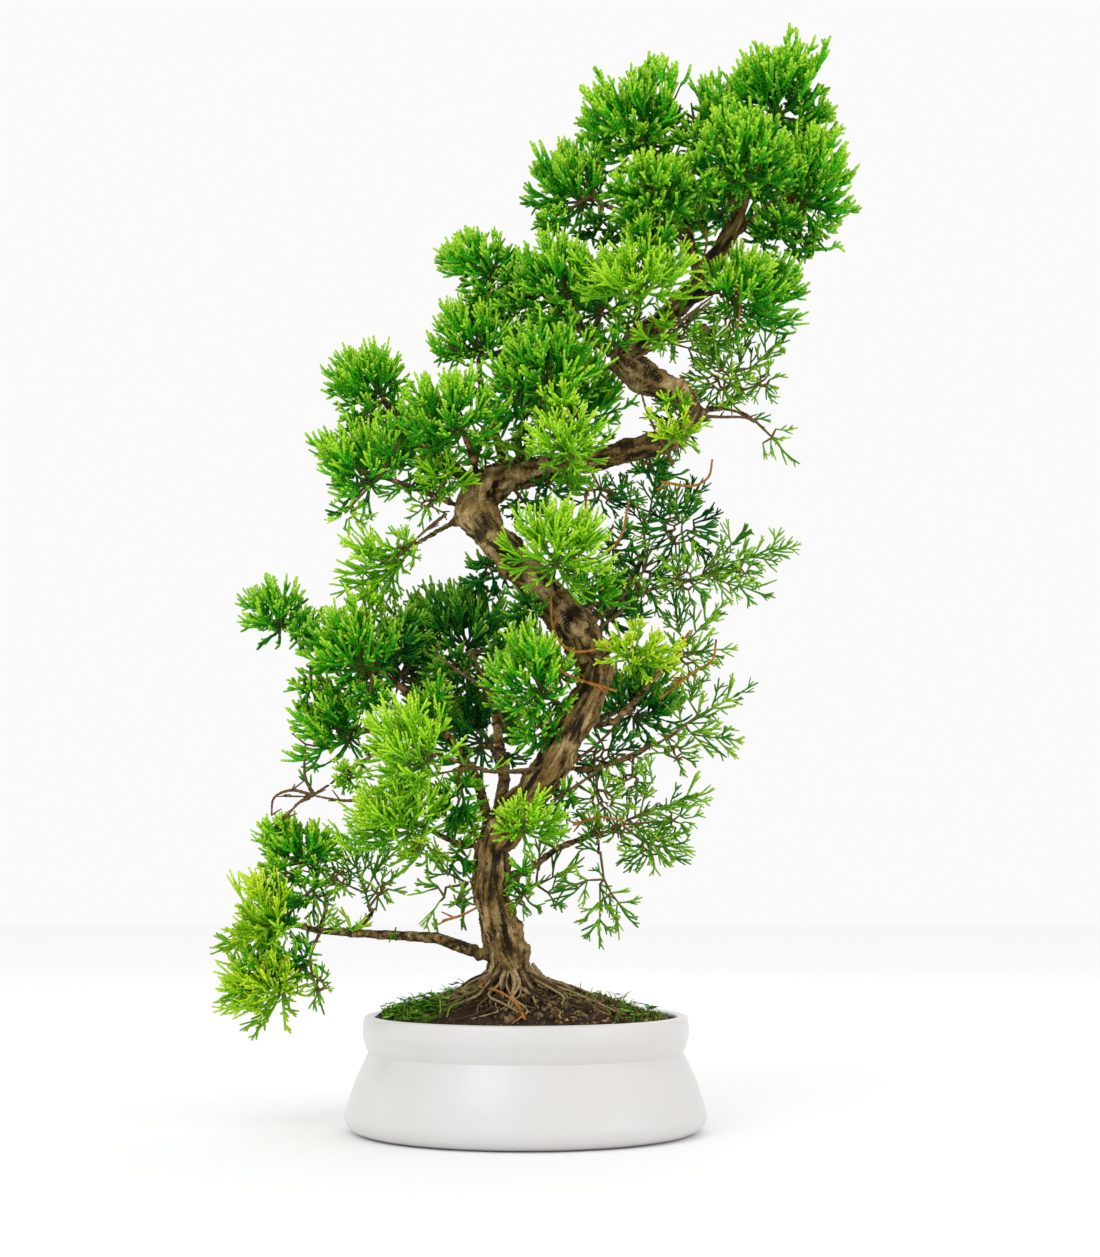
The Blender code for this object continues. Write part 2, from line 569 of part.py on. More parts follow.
def build_wood(materials, paths):
    """The trunk, its limbs and its surface roots grew as one piece."""
    wood = object_from("wood", tube(paths["trunk"], TRUNK_SIDES, TRUNK_FLUTING, TRUNK_TWIST), materials["bark"])
    pieces = new_collection("wood pieces")
    for name, path in paths.items():
        if name != "trunk":
            object_from("limb", tube(path, sides_of(path)), materials["bark"], pieces)
    for points, first, last in BARE_TWIGS:
        twig = [(*p, first + (last - first) * k / (len(points) - 1)) for k, p in enumerate(points)]
        object_from("twig", tube(twig, TWIG_SIDES), materials["bark"], pieces)
    for direction, reach, radius in ROOTS:
        object_from("root", tube(root_path(direction, reach, radius), ROOT_SIDES), materials["bark"], pieces)
    join(wood, pieces)
    wood.data.shade_smooth()
    wood.data.set_sharp_from_angle(angle=math.radians(50))


def spread_directions(count):
    """Directions spread evenly on all sides by the golden angle."""
    made = []
    for k in range(count):
        z = 1 - (2 * k + 1) / count
        angle = math.pi * (3 - math.sqrt(5)) * k
        flat = math.sqrt(1 - z * z)
        made.append(Vector((flat * math.cos(angle), flat * math.sin(angle), z)))
    return made


def stretched(way, radii):
    return Vector(w * r for w, r in zip(way, radii))


class Obstacles:
    """What already stands in the air: round bars, each with the object it belongs to."""

    def __init__(self):
        self.starts, self.ends, self.radii, self.owners = [], [], [], []

    def add_bars(self, owner, points, radii):
        for a, b, radius in zip(points, points[1:], radii):
            self.starts.append(tuple(a))
            self.ends.append(tuple(b))
            self.radii.append(float(radius))
            self.owners.append(owner)

    def others_near(self, owner, centre, reach):
        """The bars of every other object that come within reach of the centre."""
        starts, ends, radii = np.array(self.starts), np.array(self.ends), np.array(self.radii)
        middles, halves = (starts + ends) / 2, np.linalg.norm(ends - starts, axis=1) / 2
        near = np.linalg.norm(middles - np.array(centre), axis=1) < reach + halves + radii
        near &= np.array([name != owner for name in self.owners])
        return starts[near], ends[near], radii[near]


def stands_clear(bars, line, radii):
    """Whether a bar along the line, its radius going from the first value to the last, misses all the bars."""
    starts, ends, thick = bars
    if not len(starts):
        return True
    shares = np.linspace(0, 1, 7)[:, None]
    samples = np.array(line[0]) + (np.array(line[1]) - np.array(line[0])) * shares
    room = radii[0] + (radii[1] - radii[0]) * shares
    along = ends - starts
    share = ((samples[:, None] - starts) * along).sum(-1) / np.maximum((along**2).sum(-1), 1e-12)
    nearest = starts + np.clip(share, 0, 1)[..., None] * along
    gaps = np.linalg.norm(samples[:, None] - nearest, axis=-1) - thick - room
    return bool((gaps > CLEARANCE).all())


def core_radii(tuft, obstacles):
    """The largest of the core sizes that stands clear of everything else, or None."""
    near = obstacles.others_near(tuft.name, tuft.centre, max(tuft.radii))
    for share in CORE_SHARES:
        radii = [share * r for r in tuft.radii]
        lines = [(tuft.centre, Vector(tuft.centre) + stretched(way, radii)) for way in spread_directions(40)]
        if all(stands_clear(near, line, (0.0, 0.0010)) for line in lines):
            return radii
    return None


def draw_out(bm, face, tip):
    """Draws a face out to a point."""
    corners = list(face.verts)
    bm.faces.remove(face)
    end = bm.verts.new(tip)
    for k, corner in enumerate(corners):
        bm.faces.new((corner, corners[(k + 1) % len(corners)], end))


def needle(bm, face, target, owner, near, obstacles):
    """Draws the face out towards the target, as far as there is room."""
    root = face.calc_center_median()
    width = 0.75 * max((corner.co - root).length for corner in face.verts)
    for shortening in SHORTENINGS:
        tip = root.lerp(target, shortening)
        if stands_clear(near, (root, tip), (width, 0.0002)):
            middle = root.lerp(tip, 0.5)
            obstacles.add_bars(owner, [root, middle, tip], [0.8 * width, 0.4 * width])
            draw_out(bm, face, tip)
            return


def bush(tuft, core, stem, obstacles, chance):
    """A small lumpy core with each of its faces drawn out to a needle, all of them leaning up and onward."""
    wide, deep, high = tuft.radii
    count = NEEDLES_PER_AREA * (wide * deep + deep * high + wide * high)
    turn = Quaternion((chance.uniform(-1, 1), chance.uniform(-1, 1), chance.uniform(-1, 1)), chance.uniform(0, 6))
    centre = Vector(tuft.centre)
    bm = bmesh.new()
    for way in spread_directions(round(count / 2 + 2)):
        bm.verts.new(centre + stretched(turn @ way, core) * chance.uniform(1 - CORE_LUMPS, 1))
    hull = bmesh.ops.convex_hull(bm, input=bm.verts[:])
    bmesh.ops.delete(bm, geom=list(set(hull["geom_interior"])), context="VERTS")
    bmesh.ops.recalc_face_normals(bm, faces=bm.faces)
    near = obstacles.others_near(tuft.name, centre, 1.4 * max(tuft.radii))
    lean = UPSWEEP * Vector((0, 0, 1)) + FORWARD * (stem[-1] - stem[0]).normalized()
    for face in bm.faces[:]:
        root = face.calc_center_median()
        if (along(stem, nearest_share(stem, root)) - root).length < 2.2 * LIMB_TIP_RADIUS:
            continue
        way = stretched(root - centre, [1 / r for r in core]).normalized()
        target = centre + stretched((way + lean).normalized(), tuft.radii) * chance.uniform(*NEEDLE_REACH)
        needle(bm, face, target, tuft.name, near, obstacles)
    return bm


def brush(path, radius, owner, near, obstacles, chance):
    """A slim twig with needles drawn out of its sides, leaning onward, and one at its end."""
    points = [(*p, radius * (1 - 0.35 * k / (len(path) - 1))) for k, p in enumerate(path)]
    bm = tube(points, TWIG_SIDES)
    bmesh.ops.join_triangles(bm, faces=bm.faces, angle_face_threshold=3.0, angle_shape_threshold=3.0)
    bmesh.ops.recalc_face_normals(bm, faces=bm.faces)
    onward = (path[-1] - path[0]).normalized()
    for face in bm.faces[:]:
        root = face.calc_center_median()
        at_end = (root - path[-1]).length < 1e-5
        if len(face.verts) < 4 and not at_end:
            continue
        if (root - path[0]).length < 1.2 * SPRAY_PITCH:
            continue
        way = onward if at_end else (onward + 0.95 * face.normal + Vector((0, 0, 0.25))).normalized()
        target = root + way * SPRAY_NEEDLE * chance.uniform(0.8, 1.15)
        needle(bm, face, target, owner, near, obstacles)
    return bm


def sprays(tuft, stem, obstacles, chance):
    """The tuft's main twig and its side twigs, all in needles."""
    near = obstacles.others_near(tuft.name, tuft.centre, 1.6 * max(tuft.radii))
    onward = (stem[-1] - stem[0]).normalized()
    across = onward.cross(Vector((0, -1, 0))).normalized()
    made = [brush(resampled(stem, SPRAY_PITCH), SPRAY_RADIUS, tuft.name, near, obstacles, chance)]
    for share, turn, length in SIDE_SPRAYS:
        start = along(stem, share)
        way = (0.8 * onward + Quaternion(onward, math.radians(turn)) @ across).normalized()
        end = start + length * stretched(way, tuft.radii)
        middle = start.lerp(end, 0.5) - 0.0012 * onward
        path = resampled([start, middle, end], SPRAY_PITCH)
        if all(stands_clear(near, pair, (SPRAY_RADIUS, SPRAY_RADIUS)) for pair in zip(path, path[1:])):
            obstacles.add_bars(tuft.name, path, [SPRAY_RADIUS] * len(path))
            made.append(brush(path, 0.85 * SPRAY_RADIUS, tuft.name, near, obstacles, chance))
    return made


def along(path, share):
    place = max(0.0, min(1.0, share)) * (len(path) - 1)
    index = min(int(place), len(path) - 2)
    return path[index].lerp(path[index + 1], place - index)


def resampled(path, pitch):
    """Points along the path about a pitch apart."""
    length = sum((b - a).length for a, b in zip(path, path[1:]))
    count = max(2, round(length / pitch))
    return [along(path, k / count) for k in range(count + 1)]


def nearest_share(path, point):
    """How far along the path its nearest place to the point is, from 0 to 1."""
    steps = 12
    return min((k / steps for k in range(steps + 1)), key=lambda share: (along(path, share) - point).length)


def stem_of(tuft, limb, has_core):
    """The tuft's own twig, which starts just past the limb's cut end and runs into the core or, where there is
    none, through the tuft's middle to its far side."""
    end, before = Vector(limb[-1][:3]), Vector(limb[-2][:3])
    start = end + SEAT_GAP * (end - before).normalized()
    centre = Vector(tuft.centre)
    if has_core:
        return [start, start.lerp(centre, 0.7)]
    onward = (centre - start).normalized()
    far = start + onward * SPRAY_LENGTH * stretched(onward, tuft.radii).length
    bend = start.lerp(far, 0.5) + Vector((0, 0, 0.0012))
    return [start, start + 0.0014 * onward, bend, far]


def build_foliage(materials, paths):
    """Cores are given their places first, then the twigs, and last the needles, each clear of what is there."""
    obstacles = Obstacles()
    for path in paths.values():
        obstacles.add_bars("wood", [Vector(p[:3]) for p in path], [(1 + TRUNK_FLUTING) * float(p[3]) for p in path])
    for points, first, _ in BARE_TWIGS:
        obstacles.add_bars("wood", [Vector(p) for p in points], [first] * len(points))
    cores, stems = {}, {}
    for tuft in TUFTS:
        core = core_radii(tuft, obstacles) if tuft.bushy else None
        cores[tuft.name] = core
        if core:
            obstacles.add_bars(tuft.name, [tuft.centre, tuft.centre], [sum(core) / 3 + 0.0005])
    for tuft in TUFTS:
        stem = stem_of(tuft, paths[tuft.name], cores[tuft.name])
        stems[tuft.name] = stem
        obstacles.add_bars(tuft.name, stem, [LIMB_TIP_RADIUS] * len(stem))
    for number, tuft in enumerate(TUFTS):
        chance = random.Random(SEED + number)
        stem, core = stems[tuft.name], cores[tuft.name]
        if core:
            twig = tube([(*p, LIMB_TIP_RADIUS) for p in stem], sides_of(paths[tuft.name]))
            shapes = [twig, bush(tuft, core, stem, obstacles, chance)]
        else:
            shapes = sprays(tuft, stem, obstacles, chance)
        spray = object_from(f"foliage_{tuft.name}", shapes[0], materials["green"])
        pieces = new_collection("tuft pieces")
        for bm in shapes[1:]:
            object_from("piece", bm, materials["green"], pieces)
        join(spray, pieces)


def main():
    clear_scene()
    materials = make_materials()
    paths = limb_paths()
    build_pot(materials)
    build_drain_screens(materials)
    build_soil(materials, paths["trunk"])
    build_wood(materials, paths)
    build_foliage(materials, paths)


main()
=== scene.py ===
"""A juniper bonsai in a white pot: bark, foliage, soil, ground plants and glaze around the solid parts."""

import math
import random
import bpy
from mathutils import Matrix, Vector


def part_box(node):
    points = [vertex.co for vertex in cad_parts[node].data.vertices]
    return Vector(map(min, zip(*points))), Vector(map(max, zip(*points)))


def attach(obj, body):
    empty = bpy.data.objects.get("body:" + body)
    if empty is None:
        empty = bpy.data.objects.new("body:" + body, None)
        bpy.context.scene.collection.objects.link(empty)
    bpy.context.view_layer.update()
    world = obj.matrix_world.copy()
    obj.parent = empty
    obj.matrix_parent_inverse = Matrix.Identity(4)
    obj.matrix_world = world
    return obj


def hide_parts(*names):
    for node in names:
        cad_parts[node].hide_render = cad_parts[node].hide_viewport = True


bl_info = {
    "name": "Potted Juniper Bonsai",
    "version": (1, 0, 0),
    "blender": (4, 5, 0),
    "location": "View3D > Sidebar > Juniper",
    "description": "Gives a potted juniper its bark, its leafy tufts, its soil and its glazed pot",
    "category": "Add Mesh",
}

from itertools import combinations

import bmesh
import bpy
import numpy as np
from bpy.props import FloatProperty, FloatVectorProperty, IntProperty, PointerProperty
from mathutils import Vector, kdtree, noise

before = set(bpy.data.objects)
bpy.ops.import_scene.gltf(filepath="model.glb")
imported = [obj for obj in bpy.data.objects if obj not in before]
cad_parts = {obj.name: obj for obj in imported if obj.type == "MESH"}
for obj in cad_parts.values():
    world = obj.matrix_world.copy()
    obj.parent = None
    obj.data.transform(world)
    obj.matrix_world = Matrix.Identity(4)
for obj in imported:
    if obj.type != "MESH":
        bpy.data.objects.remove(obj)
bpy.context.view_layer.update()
POT_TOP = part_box("pot")[1].z
UP = Vector((0, 0, 1))
COLOUR = "NodeSocketColor"
VALUE = "NodeSocketFloat"

# Starting numbers of the random draws
FOLIAGE_SEED = 100
FILLS_SEED = 700
BRIDGES_SEED = 811
TWIGS_SEED = 41
GROUND_SEED = 57

# The pot's turned outline
FOOT_RADIUS = 0.0640
BELLY_RADIUS = 0.0722
BELLY_HEIGHT = 0.0065
NECK_RADIUS = 0.0628
NECK_HEIGHT = 0.0310
BAND_RADIUS = 0.0651
RIM_RADIUS = 0.0645
POT_WALL = 0.005
POT_FLOOR = 0.0060
DRAIN_RADIUS = 0.005
DRAIN_OFFSET = 0.028

# The mound of soil
MOUND_CENTRE = (-0.005, 0.002)
MOUND_RADIUS = 0.0595
MOUND_RISE = 0.0180
MOUND_STEEPNESS = 0.8
SOIL_DROP = 0.0020
SOIL_LUMP = 0.0009
SOIL_EDGE = 0.0592
GROUND_EDGE = 0.0578
ROOT_EDGE = 0.0572

# Sprays on the limb below each tuft
LIMB_SPRAYS = 6

# A fill's needles, as a least number and more by its half width times its half height, and its lobes
FILL_NEEDLES = 8
FILL_DENSITY = {"dense": 109200.0, "loose": 83200.0, "open": 83200.0}
FILL_LOBES = 6

# A bridge's needles and lobes, and the length of the sprays in fills and bridges
BRIDGE_NEEDLES = 24
BRIDGE_LOBES = 5
FILL_LENGTH = 0.010

# Length of one pair of scale leaves along a whip
LEAF_BAND = 0.0016

# Side of the small cubes over which the bark's mesh is evened out
BARK_VOXEL = 0.00075

# The camera and what the lights and the camera are turned to
CAMERA_PLACE = (0.0096, -0.900, 0.106)
CAMERA_TARGET = (0.0096, 0.0, 0.201)
LIGHT_TARGET = (0.01, 0.0, 0.22)
SENSOR_HEIGHT = 24.0

# The trunk's middle line from the foot up, as x, y, z and radius
TRUNK = (
    (-0.0065, 0.000, 0.044, 0.0128),
    (-0.0065, 0.000, 0.058, 0.0104),
    (-0.0080, 0.000, 0.068, 0.0084),
    (-0.0115, 0.000, 0.081, 0.0078),
    (-0.0145, -0.001, 0.097, 0.0074),
    (-0.0130, -0.003, 0.113, 0.0070),
    (-0.0020, -0.005, 0.128, 0.0070),
    (0.0100, -0.007, 0.143, 0.0072),
    (0.0185, -0.006, 0.159, 0.0070),
    (0.0265, -0.003, 0.175, 0.0066),
    (0.0275, 0.000, 0.187, 0.0072),
    (0.0210, -0.003, 0.200, 0.0088),
    (0.0090, -0.008, 0.213, 0.0080),
    (-0.0030, -0.010, 0.225, 0.0072),
    (-0.0135, -0.009, 0.237, 0.0070),
    (-0.0210, -0.004, 0.248, 0.0078),
    (-0.0180, 0.001, 0.258, 0.0080),
    (-0.0080, 0.005, 0.265, 0.0068),
    (0.0080, 0.008, 0.269, 0.0054),
    (0.0260, 0.007, 0.272, 0.0048),
    (0.0450, 0.004, 0.276, 0.0046),
    (0.0610, -0.001, 0.280, 0.0050),
    (0.0690, -0.005, 0.290, 0.0052),
    (0.0620, -0.007, 0.298, 0.0056),
    (0.0490, -0.004, 0.304, 0.0068),
    (0.0390, 0.000, 0.312, 0.0066),
    (0.0450, 0.003, 0.322, 0.0050),
    (0.0580, 0.004, 0.332, 0.0044),
    (0.0720, 0.002, 0.346, 0.0044),
    (0.0810, 0.000, 0.360, 0.0041),
    (0.0870, -0.001, 0.372, 0.0036),
    (0.0910, 0.000, 0.384, 0.0029),
    (0.0955, 0.001, 0.396, 0.0022),
)

# Tufts of each kind of growth; every other tuft is of the ordinary green kind
BRIGHT_TUFTS = (
    "upper_front",
    "centre_bright",
    "left_bright",
    "left_low_bright",
    "left_hang",
    "front_low",
    "centre_front",
)
YELLOW_TUFTS = ("front_pale", "front_yellow", "low_left", "low_left_tip")
# These tufts take the dark finish, which is painted shade.
SHADE_DARKENED_TUFTS = ("left_dark", "behind_bend", "right_back", "right_rear", "left_rear", "back_low")
OPEN_TUFTS = (
    "right_mid",
    "right_knee",
    "right_tip",
    "right_back",
    "right_long",
    "right_upper",
    "right_dark",
    "right_low",
    "right_droop",
    "trunk_right",
    "trunk_left",
    "low_left_in",
)


# Growth between the tufts: name, centre, half sizes, way of growing and shade. The dark shade, given to
# nooks, hollows and growth under and behind, is painted shade.
FILLS = (
    ("crown_under", (0.103, -0.012, 0.368), (0.016, 0.013, 0.011), "dense", "green"),
    ("crown_under_right", (0.124, -0.002, 0.364), (0.010, 0.010, 0.011), "dense", "green"),
    ("crown_right", (0.123, 0.004, 0.416), (0.010, 0.012, 0.013), "dense", "green"),
    ("crown_valley", (0.067, -0.006, 0.390), (0.011, 0.011, 0.012), "dense", "dark"),
    ("crown_hollow", (0.077, -0.016, 0.372), (0.009, 0.008, 0.010), "dense", "dark"),
    ("crown_low_left", (0.030, -0.004, 0.367), (0.013, 0.013, 0.010), "dense", "dark"),
    ("upper_nook", (-0.004, -0.008, 0.338), (0.010, 0.010, 0.010), "dense", "dark"),
    ("upper_edge", (-0.032, 0.000, 0.318), (0.010, 0.010, 0.011), "dense", "green"),
    ("upper_trunk", (0.054, -0.016, 0.322), (0.012, 0.008, 0.010), "loose", "bright"),
    ("middle_nook", (-0.005, -0.002, 0.294), (0.011, 0.011, 0.019), "dense", "dark"),
    ("knee_left", (-0.034, -0.012, 0.268), (0.012, 0.010, 0.009), "loose", "green"),
    ("far_left_droop", (-0.072, -0.012, 0.247), (0.011, 0.010, 0.009), "open", "bright"),
    ("knee_front", (0.020, -0.014, 0.262), (0.014, 0.009, 0.010), "loose", "bright"),
    ("right_of_knee", (0.080, 0.004, 0.305), (0.017, 0.012, 0.014), "open", "olive"),
    ("inside_bend", (0.062, -0.004, 0.328), (0.013, 0.010, 0.011), "open", "olive"),
    ("under_arm", (0.030, 0.012, 0.258), (0.018, 0.010, 0.010), "open", "dark"),
    ("behind_right", (0.064, 0.010, 0.244), (0.019, 0.013, 0.019), "open", "dark"),
    ("behind_right_low", (0.048, 0.014, 0.222), (0.016, 0.012, 0.016), "open", "dark"),
    ("over_knob", (0.030, -0.022, 0.216), (0.014, 0.009, 0.010), "loose", "green"),
    ("left_nook", (-0.031, 0.002, 0.186), (0.015, 0.012, 0.011), "dense", "dark"),
    ("left_outer_nook", (-0.088, 0.002, 0.177), (0.010, 0.010, 0.010), "dense", "green"),
    ("left_inner_nook", (-0.063, -0.010, 0.172), (0.011, 0.010, 0.010), "loose", "green"),
    ("beside_trunk", (0.004, -0.012, 0.160), (0.011, 0.009, 0.015), "dense", "green"),
    ("before_trunk", (-0.002, -0.020, 0.208), (0.011, 0.009, 0.011), "dense", "dark"),
    ("low_centre", (-0.027, -0.012, 0.132), (0.013, 0.011, 0.018), "dense", "green"),
    ("low_fringe", (-0.043, -0.012, 0.109), (0.015, 0.012, 0.009), "loose", "yellow"),
    ("low_centre_fringe", (-0.024, -0.006, 0.109), (0.008, 0.008, 0.012), "loose", "green"),
    ("right_low_upper", (0.033, 0.002, 0.150), (0.015, 0.012, 0.013), "open", "dark"),
    ("right_low_inner", (0.031, 0.000, 0.131), (0.014, 0.012, 0.013), "open", "olive"),
    ("right_low_outer", (0.051, -0.004, 0.112), (0.016, 0.012, 0.012), "open", "olive"),
    ("trunk_skirt", (-0.002, -0.010, 0.101), (0.008, 0.007, 0.009), "loose", "green"),
    ("low_left_inner", (-0.090, -0.002, 0.092), (0.014, 0.011, 0.012), "loose", "green"),
    ("low_left_under", (-0.092, 0.000, 0.068), (0.012, 0.011, 0.013), "loose", "green"),
    ("low_left_link", (-0.076, 0.002, 0.100), (0.009, 0.009, 0.009), "open", "olive"),
    ("low_left_crest", (-0.103, 0.002, 0.119), (0.009, 0.009, 0.008), "dense", "bright"),
    ("dark_crest", (-0.017, 0.004, 0.224), (0.011, 0.010, 0.012), "dense", "dark"),
    ("dark_inner", (-0.010, 0.004, 0.193), (0.010, 0.010, 0.010), "dense", "dark"),
    ("front_of_bend", (0.010, -0.014, 0.172), (0.011, 0.009, 0.011), "loose", "green"),
    ("under_knee", (0.001, 0.004, 0.252), (0.012, 0.010, 0.008), "loose", "dark"),
    ("under_arm_tip", (0.055, 0.008, 0.270), (0.014, 0.009, 0.007), "loose", "dark"),
    ("far_left_arcs", (-0.040, -0.006, 0.251), (0.008, 0.008, 0.008), "open", "bright"),
    ("above_knee_right", (0.078, 0.000, 0.322), (0.014, 0.010, 0.010), "loose", "olive"),
    ("beside_foot", (-0.028, -0.004, 0.090), (0.007, 0.007, 0.010), "loose", "olive"),
    ("crown_window", (0.056, 0.002, 0.404), (0.011, 0.010, 0.010), "dense", "green"),
    ("hanging_spray", (-0.082, -0.006, 0.058), (0.006, 0.006, 0.010), "open", "bright"),
    ("low_left_middle", (-0.113, -0.002, 0.079), (0.012, 0.010, 0.011), "loose", "yellow"),
    ("low_left_edge_link", (-0.104, 0.000, 0.066), (0.009, 0.009, 0.010), "loose", "bright"),
    ("left_dome", (-0.049, 0.000, 0.203), (0.013, 0.011, 0.010), "dense", "dark"),
    ("left_dome_low", (-0.038, -0.006, 0.172), (0.012, 0.010, 0.012), "dense", "green"),
    ("knee_leaves", (-0.033, -0.012, 0.263), (0.014, 0.008, 0.011), "loose", "bright"),
    ("arm_cover", (0.012, -0.012, 0.284), (0.013, 0.007, 0.010), "loose", "green"),
    ("right_back_link", (0.062, 0.006, 0.288), (0.013, 0.010, 0.017), "open", "dark"),
    ("knee_inner", (0.010, 0.004, 0.262), (0.010, 0.008, 0.008), "loose", "dark"),
    ("left_low_tips", (-0.072, -0.004, 0.141), (0.009, 0.008, 0.009), "loose", "bright"),
    ("right_edge_high", (0.101, 0.000, 0.365), (0.009, 0.009, 0.009), "dense", "green"),
    ("right_mid_edge", (0.089, 0.002, 0.226), (0.009, 0.008, 0.009), "open", "olive"),
    ("low_left_core", (-0.104, -0.006, 0.083), (0.013, 0.010, 0.013), "dense", "bright"),
    ("low_left_heart", (-0.103, -0.007, 0.061), (0.013, 0.010, 0.012), "dense", "yellow"),
    ("centre_heart", (0.0135, -0.028, 0.232), (0.010, 0.007, 0.009), "loose", "bright"),
    ("centre_heart_low", (0.0200, -0.024, 0.221), (0.010, 0.007, 0.007), "loose", "bright"),
    ("crown_front_cover", (0.090, -0.017, 0.386), (0.012, 0.008, 0.012), "dense", "green"),
    ("low_left_foot", (-0.117, -0.002, 0.058), (0.007, 0.008, 0.009), "dense", "bright"),
    ("over_knee", (-0.019, -0.004, 0.277), (0.010, 0.009, 0.009), "dense", "green"),
    ("over_knee_right", (-0.005, -0.004, 0.277), (0.009, 0.009, 0.009), "loose", "olive"),
    ("right_of_front", (0.039, 0.004, 0.236), (0.011, 0.010, 0.012), "loose", "dark"),
    ("foot_left_spray", (-0.059, 0.000, 0.096), (0.009, 0.008, 0.009), "open", "olive"),
    ("knee_tip", (0.098, 0.002, 0.304), (0.008, 0.008, 0.009), "open", "olive"),
    ("knob_leaves", (0.061, -0.012, 0.292), (0.010, 0.007, 0.008), "loose", "bright"),
    ("right_low_link", (0.042, 0.002, 0.139), (0.010, 0.008, 0.008), "open", "olive"),
    ("front_low_inner", (-0.023, -0.008, 0.123), (0.010, 0.008, 0.009), "loose", "bright"),
    ("crown_notch_low", (0.068, -0.004, 0.406), (0.010, 0.010, 0.011), "dense", "green"),
    ("crown_left_low", (0.044, -0.006, 0.405), (0.010, 0.010, 0.009), "dense", "green"),
    ("right_middle", (0.065, 0.004, 0.222), (0.013, 0.010, 0.013), "open", "olive"),
    ("left_hang_heart", (-0.053, -0.008, 0.233), (0.012, 0.009, 0.012), "loose", "bright"),
    ("crown_foot_right", (0.116, 0.000, 0.360), (0.010, 0.010, 0.009), "dense", "green"),
    ("right_dark_heart", (0.060, 0.004, 0.151), (0.012, 0.009, 0.009), "open", "olive"),
    ("above_knee_tip", (0.085, 0.002, 0.329), (0.010, 0.009, 0.009), "open", "olive"),
    ("right_upper_heart", (0.066, 0.002, 0.189), (0.011, 0.009, 0.009), "open", "olive"),
    ("right_low_heart", (0.061, 0.000, 0.123), (0.010, 0.009, 0.009), "open", "olive"),
    ("bend_cover", (0.016, -0.014, 0.183), (0.009, 0.007, 0.009), "loose", "green"),
    ("low_left_bridge", (-0.083, 0.000, 0.107), (0.009, 0.009, 0.008), "loose", "green"),
    ("droop_top", (0.037, 0.000, 0.119), (0.009, 0.008, 0.008), "open", "olive"),
    ("crown_left_foot", (0.010, -0.002, 0.372), (0.010, 0.010, 0.008), "dense", "green"),
    ("upper_right_nook", (0.035, -0.010, 0.322), (0.010, 0.008, 0.009), "loose", "green"),
    ("trunk_right_low", (0.014, -0.008, 0.131), (0.009, 0.008, 0.008), "loose", "green"),
    ("foot_front_spray", (-0.001, -0.008, 0.092), (0.006, 0.006, 0.008), "open", "olive"),
)

# Places where the outline draws in and no shoot ends, seen from the front: x, z and reach
CLEARINGS = (
    (0.129, 0.438, 0.009),
    (-0.091, 0.257, 0.009),
    (0.043, 0.443, 0.008),
    (0.127, 0.357, 0.008),
    (0.104, 0.455, 0.006),
    (0.055, 0.143, 0.006),
    (0.115, 0.457, 0.004),
    (-0.122, 0.096, 0.008),
    (-0.122, 0.086, 0.006),
    (-0.093, 0.270, 0.008),
    (-0.084, 0.257, 0.006),
    (0.036, 0.438, 0.006),
    (0.068, 0.426, 0.006),
    (0.019, 0.094, 0.006),
    (-0.039, 0.092, 0.006),
    (-0.031, 0.085, 0.005),
    (-0.085, 0.139, 0.005),
    (-0.097, 0.218, 0.004),
    (-0.098, 0.160, 0.004),
    (0.081, 0.196, 0.005),
    (-0.003, 0.361, 0.004),
)

# Finishes of the foliage: share of young growth at the tips, and colours that differ from the ordinary kind
LEAF_SHADES = {
    "green": (0.75, {}),
    "bright": (0.95, {"mature": (0.32, 0.78, 0.014), "shaded": (0.080, 0.36, 0.008)}),
    "yellow": (1.0, {"mature": (0.42, 0.78, 0.014), "shaded": (0.15, 0.43, 0.008)}),
    "olive": (0.70, {"mature": (0.21, 0.53, 0.024), "shaded": (0.050, 0.23, 0.012)}),
    # The dark kind is painted shade, for growth at the back, underneath and in the hollows.
    "dark": (0.40, {"mature": (0.030, 0.30, 0.022), "shaded": (0.004, 0.085, 0.010)}),
}

# Finishes on the soil: the darkest and the lightest tone, and roughness
GROUND_TONES = {
    "soil_crumbs": ((0.022, 0.012, 0.006), (0.30, 0.195, 0.09), 0.9),
    "bark_chips": ((0.12, 0.055, 0.018), (0.66, 0.43, 0.17), 0.9),
    "small_leaves": ((0.06, 0.27, 0.010), (0.30, 0.72, 0.04), 0.9),
    "grass": ((0.10, 0.26, 0.012), (0.50, 0.62, 0.05), 0.6),
    "fine_roots": ((0.040, 0.022, 0.009), (0.50, 0.35, 0.17), 0.9),
}
MOSS_DARK = (0.030, 0.085, 0.006)

